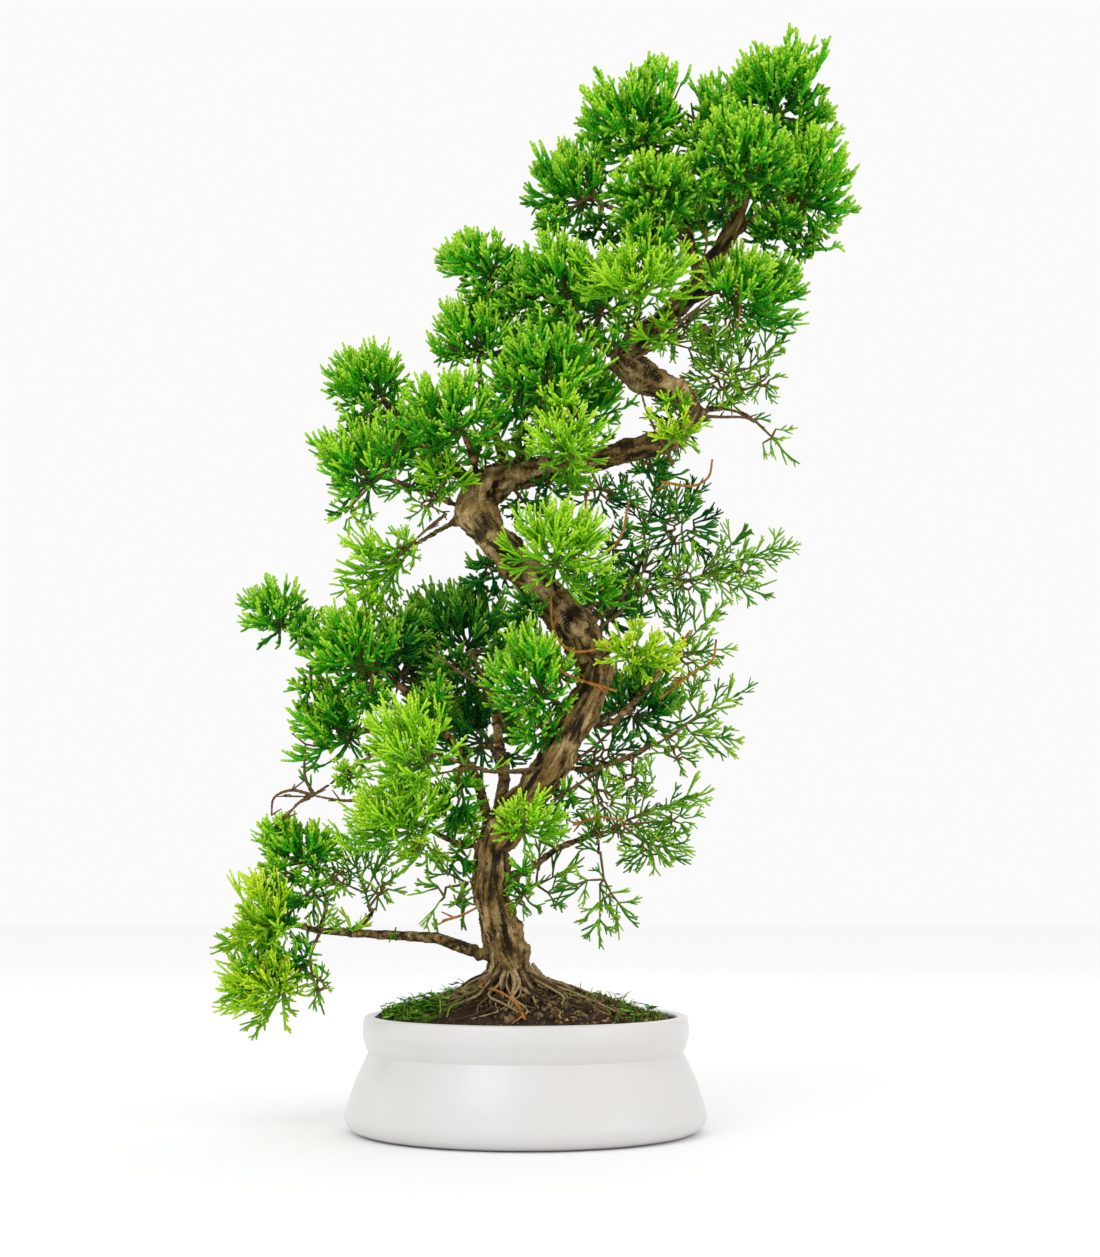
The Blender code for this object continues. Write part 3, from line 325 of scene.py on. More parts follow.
# Thin leafless twigs, each through its points
BARE_TWIGS = (
    ((-0.066, -0.004, 0.131), (-0.075, -0.004, 0.131), (-0.086, -0.004, 0.133)),
    ((-0.086, -0.004, 0.133), (-0.094, -0.007, 0.135), (-0.101, -0.008, 0.132), (-0.102, -0.008, 0.125)),
    ((-0.086, -0.004, 0.133), (-0.091, -0.008, 0.130), (-0.096, -0.010, 0.124)),
    ((-0.086, -0.004, 0.133), (-0.090, 0.002, 0.142), (-0.090, 0.004, 0.154)),
    ((0.008, -0.010, 0.144), (-0.010, -0.018, 0.142), (-0.022, -0.021, 0.143), (-0.034, -0.024, 0.141)),
    ((0.041, -0.008, 0.309), (0.051, -0.011, 0.315), (0.063, -0.012, 0.326), (0.076, -0.013, 0.336)),
    ((-0.033, -0.006, 0.247), (-0.041, -0.009, 0.240), (-0.053, -0.010, 0.228)),
    ((0.029, 0.003, 0.201), (0.041, 0.004, 0.211), (0.048, 0.008, 0.226), (0.051, 0.010, 0.240)),
    ((0.019, -0.006, 0.146), (0.030, 0.000, 0.155), (0.040, 0.004, 0.166), (0.049, 0.008, 0.179)),
    ((0.010, -0.010, 0.130), (0.022, -0.008, 0.138), (0.034, -0.003, 0.146), (0.059, 0.004, 0.157)),
    ((-0.008, -0.002, 0.160), (-0.015, -0.010, 0.176), (-0.022, -0.014, 0.190)),
    ((-0.015, -0.009, 0.175), (-0.025, -0.013, 0.181), (-0.036, -0.015, 0.189)),
    ((0.069, -0.006, 0.288), (0.079, -0.008, 0.287), (0.090, -0.006, 0.287), (0.098, 0.000, 0.284)),
    ((0.060, -0.004, 0.268), (0.050, -0.012, 0.286), (0.046, -0.014, 0.298)),
    ((-0.083, 0.000, 0.078), (-0.086, -0.006, 0.068), (-0.083, -0.008, 0.055), (-0.080, -0.008, 0.046)),
)

# Dead, orange-brown shoots, each through its points
DEAD_SHOOTS = (
    ((0.041, -0.022, 0.250), (0.038, -0.024, 0.236), (0.030, -0.026, 0.227), (0.018, -0.027, 0.225)),
    ((0.076, -0.004, 0.270), (0.074, -0.008, 0.262), (0.067, -0.010, 0.258), (0.056, -0.008, 0.260)),
    ((0.077, -0.004, 0.196), (0.075, -0.008, 0.187), (0.067, -0.010, 0.182), (0.054, -0.006, 0.172)),
    ((0.066, -0.012, 0.199), (0.061, -0.014, 0.190), (0.053, -0.016, 0.186)),
    ((0.040, -0.014, 0.122), (0.030, -0.015, 0.124), (0.019, -0.012, 0.121)),
    ((0.013, -0.018, 0.206), (0.010, -0.022, 0.193), (0.015, -0.023, 0.181), (0.036, -0.018, 0.174)),
    ((0.010, -0.020, 0.214), (0.011, -0.024, 0.198), (0.020, -0.026, 0.189), (0.044, -0.026, 0.194)),
    ((0.028, -0.006, 0.262), (0.024, -0.010, 0.252), (0.026, -0.010, 0.238)),
    ((0.072, -0.006, 0.352), (0.074, -0.010, 0.360), (0.072, -0.012, 0.369)),
    ((0.086, -0.014, 0.322), (0.087, -0.016, 0.334), (0.084, -0.016, 0.344)),
    ((-0.018, -0.014, 0.057), (-0.010, -0.026, 0.056), (-0.003, -0.040, 0.052), (0.000, -0.050, 0.047)),
    ((-0.020, -0.004, 0.088), (-0.026, -0.008, 0.085), (-0.033, -0.010, 0.083)),
)

# Places where the trunk is bare of bark: middle and reach
DEADWOOD = (
    ((0.019, -0.014, 0.203), 0.0115),
    ((0.005, -0.018, 0.216), 0.0085),
    ((0.044, -0.010, 0.308), 0.0100),
    ((0.061, -0.012, 0.298), 0.0075),
    ((-0.024, -0.011, 0.243), 0.0080),
    ((-0.012, -0.015, 0.234), 0.0060),
    ((0.024, 0.012, 0.190), 0.0080),
    ((-0.004, 0.012, 0.262), 0.0070),
)

# Hollows and snags in the trunk: middle, reach and depth
HOLLOWS = (
    ((-0.0140, -0.0120, 0.2600), 0.0032, 0.0040),
    ((-0.0080, -0.0110, 0.2670), 0.0024, 0.0030),
    ((0.0200, -0.0090, 0.2810), 0.0020, 0.0024),
    ((0.0165, -0.0155, 0.2050), 0.0030, 0.0042),
    ((0.0205, -0.0135, 0.2025), 0.0024, 0.0034),
    ((0.0240, -0.0110, 0.1990), 0.0016, 0.0022),
    ((-0.0150, -0.0070, 0.2560), 0.0024, 0.0034),
    ((-0.0125, -0.0050, 0.2595), 0.0020, 0.0030),
    ((0.0450, -0.0110, 0.3040), 0.0022, 0.0030),
    ((0.0425, -0.0090, 0.3065), 0.0018, 0.0024),
    ((0.0320, 0.0050, 0.1840), 0.0024, 0.0028),
)


class JuniperFoliageSettings(bpy.types.PropertyGroup):
    whip_radius: FloatProperty(
        name="Whip radius",
        description="Half the thickness of a leafy whip in a dense tuft",
        default=0.00080,
        subtype="DISTANCE",
        unit="LENGTH",
    )
    side_whips: IntProperty(
        name="Side whips",
        description="Side whips on each leading whip",
        default=2,
        min=0,
        max=9,
    )
    young: FloatVectorProperty(
        name="Young growth",
        description="Colour of the growing tips",
        default=(0.67, 1.0, 0.055),
        subtype="COLOR",
    )
    mature: FloatVectorProperty(
        name="Mature growth",
        description="Colour of the scale leaves",
        default=(0.070, 0.55, 0.012),
        subtype="COLOR",
    )
    # Painted shade: the low, inner sprays and the gaps between the scale leaves take this colour, darkened
    # for the shade that falls there.
    shaded: FloatVectorProperty(
        name="Shaded growth",
        description="Colour of older leaves",
        default=(0.008, 0.150, 0.006),
        subtype="COLOR",
    )
    yellow: FloatVectorProperty(
        name="Yellow growth",
        description="Colour of the sunned tips",
        default=(0.78, 0.97, 0.045),
        subtype="COLOR",
    )
    twig: FloatVectorProperty(
        name="Twig",
        description="Colour of the leafless twigs",
        default=(0.20, 0.115, 0.045),
        subtype="COLOR",
    )
    dead: FloatVectorProperty(
        name="Dead shoot",
        description="Colour of the dead shoots",
        default=(0.50, 0.20, 0.035),
        subtype="COLOR",
    )


class JuniperBarkSettings(bpy.types.PropertyGroup):
    ridge_depth: FloatProperty(
        name="Ridge depth",
        description="How far the trunk's ridges stand out of its furrows",
        default=0.0016,
        subtype="DISTANCE",
        unit="LENGTH",
    )
    bark: FloatVectorProperty(
        name="Bark",
        description="Colour of the bark's ridges",
        default=(0.275, 0.165, 0.046),
        subtype="COLOR",
    )
    # Painted shade: the near-black colour that the furrows, cracks and hollows take.
    furrow: FloatVectorProperty(
        name="Furrow",
        description="Colour deep between the ridges",
        default=(0.018, 0.011, 0.003),
        subtype="COLOR",
    )
    # Real peeled wear, and also a painted highlight where it sits on the ridge tops and raised streaks.
    peeled: FloatVectorProperty(
        name="Peeled bark",
        description="Colour of worn and peeled strips",
        default=(0.66, 0.49, 0.23),
        subtype="COLOR",
    )


class JuniperPotSettings(bpy.types.PropertyGroup):
    segments: IntProperty(
        name="Segments",
        description="Steps round the pot",
        default=160,
        min=24,
        max=400,
    )
    glaze: FloatVectorProperty(
        name="Glaze",
        description="Colour of the glaze",
        default=(0.70, 0.685, 0.675),
        subtype="COLOR",
    )


class JuniperGroundSettings(bpy.types.PropertyGroup):
    crumbs: IntProperty(
        name="Crumbs",
        description="Loose crumbs on the soil",
        default=2600,
        min=0,
        max=8000,
    )
    fine_roots: IntProperty(
        name="Fine roots",
        description="Thin roots over the mound",
        default=70,
        min=0,
        max=300,
    )
    soil: FloatVectorProperty(
        name="Soil",
        description="Colour of the damp soil",
        default=(0.050, 0.028, 0.015),
        subtype="COLOR",
    )
    moss: FloatVectorProperty(
        name="Moss",
        description="Colour of the moss in the light",
        default=(0.16, 0.36, 0.02),
        subtype="COLOR",
    )


class JuniperStageSettings(bpy.types.PropertyGroup):
    floor_size: FloatProperty(
        name="Floor size",
        description="Width of the floor",
        default=6.0,
        subtype="DISTANCE",
        unit="LENGTH",
    )
    sky_strength: FloatProperty(
        name="Sky",
        description="Brightness of the even light all round",
        default=0.96,
    )
    key_power: FloatProperty(
        name="Key light",
        description="Power of the main light",
        default=3.5,
        unit="POWER",
    )
    fill_power: FloatProperty(
        name="Fill light",
        description="Power of the side light",
        default=1.5,
        unit="POWER",
    )
    lens: FloatProperty(
        name="Lens",
        description="Focal length",
        default=42.37,
        subtype="DISTANCE_CAMERA",
    )


def add_node(tree, kind, settings=None, **inputs):
    """Adds a shader node, with its inputs by name (_ for a space) or by number (_0, _1).

    An input is a value, or the output socket of another node.
    """
    made = tree.nodes.new(kind)
    for name, value in (settings or {}).items():
        setattr(made, name, value)
    for name, value in inputs.items():
        socket = made.inputs[int(name[1:])] if name[1:].isdigit() else made.inputs[name.replace("_", " ")]
        if isinstance(value, bpy.types.NodeSocket):
            tree.links.new(value, socket)
        else:
            socket.default_value = value
    return made


def new_group(name, inputs, outputs):
    """A shader node group with the named sockets; returns it with its input and output nodes."""
    group = bpy.data.node_groups.new(name, "ShaderNodeTree")
    for label, (kind, value) in inputs.items():
        socket = group.interface.new_socket(label, in_out="INPUT", socket_type=kind)
        socket.default_value = value
    for label, kind in outputs.items():
        group.interface.new_socket(label, in_out="OUTPUT", socket_type=kind)
    return group, group.nodes.new("NodeGroupInput").outputs, group.nodes.new("NodeGroupOutput").inputs


def blended(tree, share, first, second, kind="MIX"):
    """The output of a colour mix."""
    settings = {"data_type": "RGBA", "blend_type": kind, "clamp_result": kind != "MIX"}
    mix = add_node(tree, "ShaderNodeMix", settings)
    for socket, value in ((mix.inputs[0], share), (mix.inputs[6], first), (mix.inputs[7], second)):
        if isinstance(value, bpy.types.NodeSocket):
            tree.links.new(value, socket)
        else:
            socket.default_value = value
    return mix.outputs[2]


def ranged(tree, value, low, high, to_low=0.0, to_high=1.0):
    """The value eased from one range into another."""
    settings = {"interpolation_type": "SMOOTHSTEP"}
    mapped = add_node(tree, "ShaderNodeMapRange", settings, _0=value, _1=low, _2=high, _3=to_low, _4=to_high)
    return mapped.outputs[0]


def maths(tree, operation, *terms, clamp=False):
    """The output of one sum on values or sockets."""
    settings = {"operation": operation, "use_clamp": clamp}
    inputs = {f"_{number}": term for number, term in enumerate(terms)}
    return add_node(tree, "ShaderNodeMath", settings, **inputs).outputs[0]


def object_place(tree):
    """The place on the piece itself, for textures that stay with it."""
    return add_node(tree, "ShaderNodeTexCoord").outputs["Object"]


def clouds(tree, place, scale, detail, **more):
    """Soft noise from 0 to 1."""
    made = add_node(tree, "ShaderNodeTexNoise", Vector=place, Scale=scale, Detail=detail, **more)
    return made.outputs[0]


def attribute(tree, name):
    """A value that the mesh holds at its corners."""
    return add_node(tree, "ShaderNodeAttribute", {"attribute_name": name}).outputs["Fac"]


def mottle_group():
    """Soft blotches and fine grain that vary a colour, as on soil, bark and leaves."""
    inputs = {
        "Colour": (COLOUR, (0.5, 0.5, 0.5, 1.0)),
        "Dark": (COLOUR, (0.1, 0.1, 0.1, 1.0)),
        "Blotch Scale": (VALUE, 120.0),
        "Grain Scale": (VALUE, 900.0),
        "Amount": (VALUE, 0.5),
    }
    group, inlet, outlet = new_group("Mottle", inputs, {"Colour": COLOUR, "Grain": VALUE})
    place = object_place(group)
    both = maths(
        group,
        "ADD",
        clouds(group, place, inlet["Blotch Scale"], 3.0),
        clouds(group, place, inlet["Grain Scale"], 2.0),
    )
    share = maths(group, "MULTIPLY", ranged(group, both, 0.85, 1.2), inlet["Amount"])
    group.links.new(blended(group, share, inlet["Colour"], inlet["Dark"]), outlet["Colour"])
    group.links.new(both, outlet["Grain"])
    return group


def leafy_group():
    """Colours a leafy cord from its woody base to its growing tip, with the bands of its scale leaves, and
    paints light and shade: low tint takes the shaded colour, high tint and age the young one, and the gaps
    between the scale leaves get painted shade.
    """
    inputs = {
        "Twig": (COLOUR, (0.15, 0.08, 0.03, 1.0)),
        "Shaded": (COLOUR, (0.02, 0.1, 0.02, 1.0)),
        "Mature": (COLOUR, (0.06, 0.3, 0.03, 1.0)),
        "Young": (COLOUR, (0.4, 0.6, 0.05, 1.0)),
        "Tip Share": (VALUE, 0.75),
    }
    group, inlet, outlet = new_group("Scale Leaves", inputs, {"Colour": COLOUR, "Height": VALUE})
    age, tint, along = (attribute(group, name) for name in ("age", "tint", "along"))
    # Painted shade: sprays with a low tint, which sit low and inside the tuft, take the shaded colour.
    green = blended(group, ranged(group, tint, 0.05, 0.75), inlet["Shaded"], inlet["Mature"])
    # Partly painted light: besides the real young tips, the young colour spreads further on sprays with a
    # high tint, which sit high and outside the tuft.
    bright = maths(group, "MULTIPLY_ADD", tint, 0.35, age)
    youth_and_light = maths(group, "MULTIPLY", ranged(group, bright, 0.88, 1.36), inlet["Tip Share"])
    lit = blended(group, youth_and_light, green, inlet["Young"])
    woody = blended(group, ranged(group, age, 0.12, 0.30), inlet["Twig"], lit)
    # Painted shade in the gaps between the scale leaves, in bands along the whip.
    band = maths(group, "SINE", maths(group, "MULTIPLY", along, 2 * math.pi / LEAF_BAND))
    shade = ranged(group, band, -1.0, 0.4, 0.30, 0.0)
    group.links.new(blended(group, shade, woody, inlet["Shaded"]), outlet["Colour"])
    group.links.new(band, outlet["Height"])
    return group


def new_material(name):
    """An empty node material with its Principled shader, ready to be wired."""
    material = bpy.data.materials.new(name)
    material.use_nodes = True
    tree = material.node_tree
    return material, tree, tree.nodes["Principled BSDF"]


def rgba(colour):
    """The colour with full opacity."""
    return (*colour, 1.0)


def wire(tree, shader, colour=None, roughness=None, height=None, bump=0.3, distance=0.0004):
    """Feeds the shader's colour, roughness and, through a bump, its normal."""
    if colour is not None:
        tree.links.new(colour, shader.inputs["Base Color"])
    if isinstance(roughness, bpy.types.NodeSocket):
        tree.links.new(roughness, shader.inputs["Roughness"])
    elif roughness is not None:
        shader.inputs["Roughness"].default_value = roughness
    if height is not None:
        raised = add_node(tree, "ShaderNodeBump", None, Strength=bump, Distance=distance, Height=height)
        tree.links.new(raised.outputs[0], shader.inputs["Normal"])


def grouped(tree, group, **inputs):
    """Places a node group in the material; its inputs are given with underscores for spaces."""
    placed = tree.nodes.new("ShaderNodeGroup")
    placed.node_tree = group
    for name, value in inputs.items():
        placed.inputs[name.replace("_", " ")].default_value = value
    return placed.outputs


def shared_group(name, maker):
    """The named node group, made the first time that it is asked for."""
    return bpy.data.node_groups.get(name) or maker()


def leaf_material(name, settings, tip_share, young, mature=None, shaded=None):
    """The named leafy finish, made once and then shared."""
    made = bpy.data.materials.get(name)
    if made:
        return made
    material, tree, shader = new_material(name)
    out = grouped(
        tree,
        shared_group("Scale Leaves", leafy_group),
        Twig=rgba(settings.twig),
        Shaded=rgba(shaded or settings.shaded),
        Mature=rgba(mature or settings.mature),
        Young=rgba(young),
        Tip_Share=tip_share,
    )
    wire(tree, shader, out["Colour"], 0.55, out["Height"], 0.5, 0.0003)
    shader.inputs["Specular IOR Level"].default_value = 0.05
    return material


class Cords:
    """Curved, tapering cords, gathered up to be made into one mesh."""

    def __init__(self, rings, sides):
        self.rings, self.sides, self.rows = rings, sides, []

    def add(self, start, bend, end, thick, thin, age_from, age_to, tint):
        """One cord from start to end that curves towards bend, with its radius and age at both ends."""
        self.rows.append((*start, *bend, *end, thick, thin, age_from, age_to, tint))

    def arrays(self):
        """Corner places, four-sided and three-sided faces, and each corner's age, tint and length along."""
        rows = np.array(self.rows, float)
        start, bend, end = (rows[:, None, k : k + 3] for k in (0, 3, 6))
        share = np.linspace(0, 1, self.rings)[None, :, None]
        middle = (1 - share) ** 2 * start + 2 * share * (1 - share) * bend + share**2 * end
        heading = (1 - share) * (bend - start) + share * (end - bend)
        heading /= np.maximum(np.linalg.norm(heading, axis=2, keepdims=True), 1e-9)
        chord = end - start
        flat = np.abs(chord[..., 2:3]) < 0.8 * np.linalg.norm(chord, axis=2, keepdims=True)
        helper = np.where(flat, np.array([0.0, 0.0, 1.0]), np.array([1.0, 0.0, 0.0]))
        across = np.cross(heading, helper)
        across /= np.maximum(np.linalg.norm(across, axis=2, keepdims=True), 1e-9)
        upward = np.cross(across, heading)
        radius = rows[:, None, 9:10] * (1 - share) + rows[:, None, 10:11] * share
        radius = radius * np.where(share > 0.999, 0.78, 1.0)
        turn = 2 * math.pi * np.arange(self.sides) / self.sides + 0.4
        ring = across[:, :, None] * np.cos(turn)[:, None] + upward[:, :, None] * np.sin(turn)[:, None]
        skin = middle[:, :, None] + radius[:, :, None] * ring
        tip = middle[:, -1] + 0.9 * radius[:, -1] * heading[:, -1]
        count, each = len(rows), self.rings * self.sides + 1
        corners = np.concatenate([skin.reshape(count, -1, 3), tip[:, None]], axis=1).reshape(-1, 3)
        k = np.arange(self.sides)
        level = np.arange(self.rings - 1)[:, None] * self.sides
        here, there = level + k, level + (k + 1) % self.sides
        quads = np.stack([here, there, there + self.sides, here + self.sides], axis=2).reshape(-1, 4)
        last = (self.rings - 1) * self.sides
        fan = np.stack([last + k, last + (k + 1) % self.sides, np.full(self.sides, each - 1)], axis=1)
        step = (np.arange(count) * each)[:, None, None]
        steps = np.linalg.norm(np.diff(middle, axis=1), axis=2)
        length = np.concatenate([np.zeros((count, 1)), np.cumsum(steps, axis=1)], axis=1)
        age = rows[:, 11:12] * (1 - share[..., 0]) + rows[:, 12:13] * share[..., 0]

        def per_corner(values):
            spread = np.repeat(values, self.sides, axis=1)
            return np.concatenate([spread, values[:, -1:]], axis=1).reshape(-1)

        marks = {
            "age": per_corner(age),
            "tint": np.repeat(rows[:, 13], each),
            "along": per_corner(length),
        }
        return corners, (quads + step).reshape(-1, 4), (fan + step).reshape(-1, 3), marks


def mesh_object(name, parts, material, smooth=True):
    """One mesh object from parts, each of them corners, four-sided faces, three-sided faces and marks."""
    corners, quads, fans, marks, base = [], [], [], {}, 0
    for places, four, three, named in parts:
        corners.append(places)
        quads.append(np.asarray(four, int).reshape(-1, 4) + base)
        fans.append(np.asarray(three, int).reshape(-1, 3) + base)
        for key, values in named.items():
            marks.setdefault(key, []).append(values)
        base += len(places)
    corners, quads, fans = np.concatenate(corners), np.concatenate(quads), np.concatenate(fans)
    mesh = bpy.data.meshes.new(name)
    mesh.vertices.add(len(corners))
    mesh.vertices.foreach_set("co", corners.astype(np.float32).reshape(-1))
    mesh.loops.add(quads.size + fans.size)
    order = np.concatenate([quads.reshape(-1), fans.reshape(-1)])
    mesh.loops.foreach_set("vertex_index", order.astype(np.int32))
    mesh.polygons.add(len(quads) + len(fans))
    starts = np.concatenate([4 * np.arange(len(quads)), quads.size + 3 * np.arange(len(fans))])
    mesh.polygons.foreach_set("loop_start", starts.astype(np.int32))
    mesh.update(calc_edges=True)
    for key, values in marks.items():
        layer = mesh.attributes.new(key, "FLOAT", "POINT")
        layer.data.foreach_set("value", np.concatenate(values).astype(np.float32))
    if smooth:
        mesh.shade_smooth()
    mesh.materials.append(material)
    made = bpy.data.objects.new(name, mesh)
    bpy.context.scene.collection.objects.link(made)
    return made


def settle(piece, slot, *nodes):
    """The finished piece rides on the tree and stands for the named solids. The slot is not used."""
    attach(piece, "root")
    if nodes:
        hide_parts(*nodes)


def needles_of(solid):
    """The root and the tip of each needle that the solid has, in a steady order, and its other corners."""
    bm = bmesh.new()
    bm.from_mesh(solid.data)
    bmesh.ops.remove_doubles(bm, verts=bm.verts, dist=1e-5)
    needles, others = [], []
    for corner in bm.verts:
        ring = [edge.other_vert(corner).co for edge in corner.link_edges]
        root = sum(ring, Vector()) / max(1, len(ring))
        if len(ring) in (3, 4) and (corner.co - root).length > 0.0035:
            needles.append((root, corner.co.copy()))
        else:
            others.append(corner.co.copy())
    bm.free()
    needles.sort(key=lambda pair: tuple(round(1e4 * value) for value in pair[1]))
    return needles, others


def wood_tree():
    """A search tree over the corners of the solid wood."""
    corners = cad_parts["wood"].data.vertices
    tree = kdtree.KDTree(len(corners))
    for index, corner in enumerate(corners):
        tree.insert(corner.co, index)
    tree.balance()
    return tree


def sideways(heading, chance):
    """A random direction square to the heading."""
    other = Vector((chance.uniform(-1, 1), chance.uniform(-1, 1), chance.uniform(-1, 1)))
    across = heading.cross(other)
    return across.normalized() if across.length > 1e-6 else heading.orthogonal().normalized()


def bezier(start, bend, end, share):
    """The place a share of the way along a curve from start to end that leans towards the bend."""
    return (1 - share) ** 2 * start + 2 * share * (1 - share) * bend + share**2 * end


def leafy_spray(cords, start, end, look, chance, tint):
    """A leading whip and a few side whips that leave it low, spread, and turn up to run beside it."""
    leaders, sides, nubs, _ = cords
    chord = end - start
    length = chord.length
    heading = chord.normalized()
    drift = -UP * look["sag"] * length + sideways(heading, chance) * 0.10 * length
    bend = start + 0.5 * chord + drift
    thick = look["radius"] * chance.uniform(0.85, 1.15)
    leaders.add(start, bend, end, 0.86 * thick, 0.90 * thick, look["base_age"], 1.0, tint)
    across = sideways(heading, chance)
    count = max(1, round(look["sides"] * min(1.35, length / 0.011)))
    for k in range(count):
        share = 0.10 + 0.68 * (k + chance.uniform(0.1, 0.9)) / count
        place = bezier(start, bend, end, share)
        hand = (across if k % 2 else -across) + 0.7 * sideways(heading, chance)
        tilt = math.radians(chance.uniform(*look["spread"]))
        way = (math.cos(tilt) * heading + math.sin(tilt) * hand.normalized()).normalized()
        reach = max(0.0032, (1.0 - share) * length * chance.uniform(0.55, 1.0))
        knee = place + 0.5 * reach * way
        tip = knee + 0.6 * reach * (way + look["curl"] * (heading + 0.4 * UP)).normalized()
        age = look["base_age"] + (1 - look["base_age"]) * 0.7 * share
        side_tint = min(1.0, max(0.0, tint + chance.uniform(-0.22, 0.22)))
        sides.add(place, knee, tip, 0.80 * thick, 0.86 * thick, age, 1.0, side_tint)
        if chance.random() < look["fork"]:
            fork = place.lerp(knee, chance.uniform(0.7, 1.1))
            size = chance.uniform(0.0022, 0.0042)
            prong = fork + size * (way + 0.8 * sideways(heading, chance)).normalized()
            nubs.add(fork, fork.lerp(prong, 0.5), prong, 0.74 * thick, 0.74 * thick, 0.72, 1.0, side_tint)
    if chance.random() < look["fork"]:
        fork = bezier(start, bend, end, chance.uniform(0.6, 0.8))
        size = chance.uniform(0.0025, 0.0045)
        prong = fork + size * (heading + 0.7 * sideways(heading, chance)).normalized()
        nubs.add(fork, fork.lerp(prong, 0.5), prong, 0.80 * thick, 0.80 * thick, 0.8, 1.0, tint)


def new_cords():
    """Leading whips, side whips, short nubs and twigs, each with as many rings as its curve needs."""
    return Cords(4, 3), Cords(3, 3), Cords(2, 3), Cords(3, 3)


def kept_clear(place):
    """Whether the place lies where the outline draws in."""
    return any(math.hypot(place.x - x, place.z - z) < reach for x, z, reach in CLEARINGS)


def lobes_of(rays, count):
    """A few of the rays, spread as evenly as they go, about which a tuft's branchlets gather."""
    picked = [max(rays, key=lambda ray: ray.z)]
    while len(picked) < min(count, len(rays)):
        picked.append(max(rays, key=lambda ray: min(ray.angle(other) for other in picked)))
    return picked


def dense_tuft(needles, anchor, look, chance):
    """A bushy tuft. Its sprays end where its needles do and inside, gathered into uneven lobes."""
    cords = new_cords()
    twigs = cords[3]
    hub = sum((root for root, _ in needles), Vector()) / len(needles)
    stem = (hub - anchor).normalized()
    slack = anchor.lerp(hub, 0.5) - 0.05 * (hub - anchor).length * UP
    twigs.add(anchor, slack, hub, 0.0011, 0.0008, 0.0, 0.05, 0.5)
    growth = (stem + look["upward"] * UP).normalized()
    hub = hub - look["fan"] * growth * sum((tip - hub).length for _, tip in needles) / len(needles)
    rays = [tip - hub for _, tip in needles]
    lobes = []
    for axis in lobes_of(rays, look["lobes"]):
        swell = chance.uniform(*look["swell"])
        base = anchor.lerp(hub, chance.uniform(0.6, 1.0)) + 0.06 * axis
        end = hub + 0.55 * swell * axis
        bend = base.lerp(end, 0.5) - 0.10 * axis.length * UP
        # The lobe twigs and the twigs to the sprays' feet take a low tint, so they wear the painted shade
        # colour inside the tuft.
        twigs.add(base, bend, end, 0.00075, 0.00055, 0.20, 0.36, 0.1)
        lobes.append((axis, swell, chance.uniform(-0.16, 0.16), base, bend, end))
    targets = [(ray, 1.0) for ray in rays]
    for _ in range(round(look["filling"] * len(rays))):
        first, second = chance.choice(rays), chance.choice(rays)
        if first.angle(second) < 1.4:
            depth = chance.uniform(0.35, 1.0) ** 0.8
            mixed = first.lerp(second, chance.uniform(0.2, 0.8)).normalized()
            targets.append((depth * mixed * 0.5 * (first.length + second.length), depth))
    top = max(ray.z for ray in rays) + 1e-6
    for ray, depth in targets:
        axis, swell, tone, base, bend, end = min(lobes, key=lambda row: row[0].angle(ray))
        gathered = ray.lerp(axis.normalized() * ray.length, look["gather"])
        tip = hub + swell * gathered
        outward = gathered.normalized()
        lean = look["lean"] if outward.dot(growth) > -0.25 else 0.25 * look["lean"]
        way = (outward + lean * growth + 0.25 * sideways(outward, chance)).normalized()
        tip = tip + way * chance.uniform(-0.0025, look["overreach"])
        if kept_clear(tip):
            continue
        joint = bezier(base, bend, end, min(1.0, chance.uniform(0.25, 0.75) + 0.3 * depth))
        length = look["length"] * chance.uniform(0.75, 1.25)
        if (tip - joint).length > length:
            foot = tip - way.lerp((tip - joint).normalized(), 0.4).normalized() * length
            twigs.add(joint, joint.lerp(foot, 0.5) - 0.0006 * UP, foot, 0.00050, 0.00050, 0.30, 0.40, 0.2)
        else:
            foot = joint
        # Painted light and shade: sprays high in the tuft and near its outside get a high tint and the lit
        # young colour, low and inner ones a low tint and the shaded colour.
        height = 0.5 + 0.5 * max(-1.0, ray.z / top)
        tint = 0.10 + 0.75 * height * depth + tone + chance.uniform(-0.18, 0.22)
        tint *= min(1.0, 0.2 + 0.9 * depth)
        leafy_spray(cords, foot, tip, look, chance, min(1.0, max(0.0, tint)))
    return cords


def open_tuft(needles, anchor, look, chance):
    """A thin, flat spray: a twig runs from place to place, and whips leave it where its needles stand."""
    cords = new_cords()
    twigs = cords[3]
    joined = [(anchor, 0.0)]
    for root, tip in sorted(needles, key=lambda pair: (pair[0] - anchor).length):
        near, run = min(joined, key=lambda row: (row[0] - root).length + 0.25 * row[1])
        run += (root - near).length
        thick = max(0.00045, 0.0008 - 0.010 * run)
        green = min(0.30, 5.0 * run)
        twigs.add(near, near.lerp(root, 0.5), root, thick, 0.9 * thick, green, green + 0.04, 0.5)
        joined.append((root, run))
        tint = chance.uniform(0.0, 0.9)
        for turn in range(look["whips"]):
            swing = turn * 0.55 * sideways(tip - root, chance) * (tip - root).length
            target = tip + swing + (tip - root).normalized() * chance.uniform(-0.002, look["overreach"])
            if kept_clear(target):
                continue
            leafy_spray(cords, root, target, look, chance, tint)
    return cords


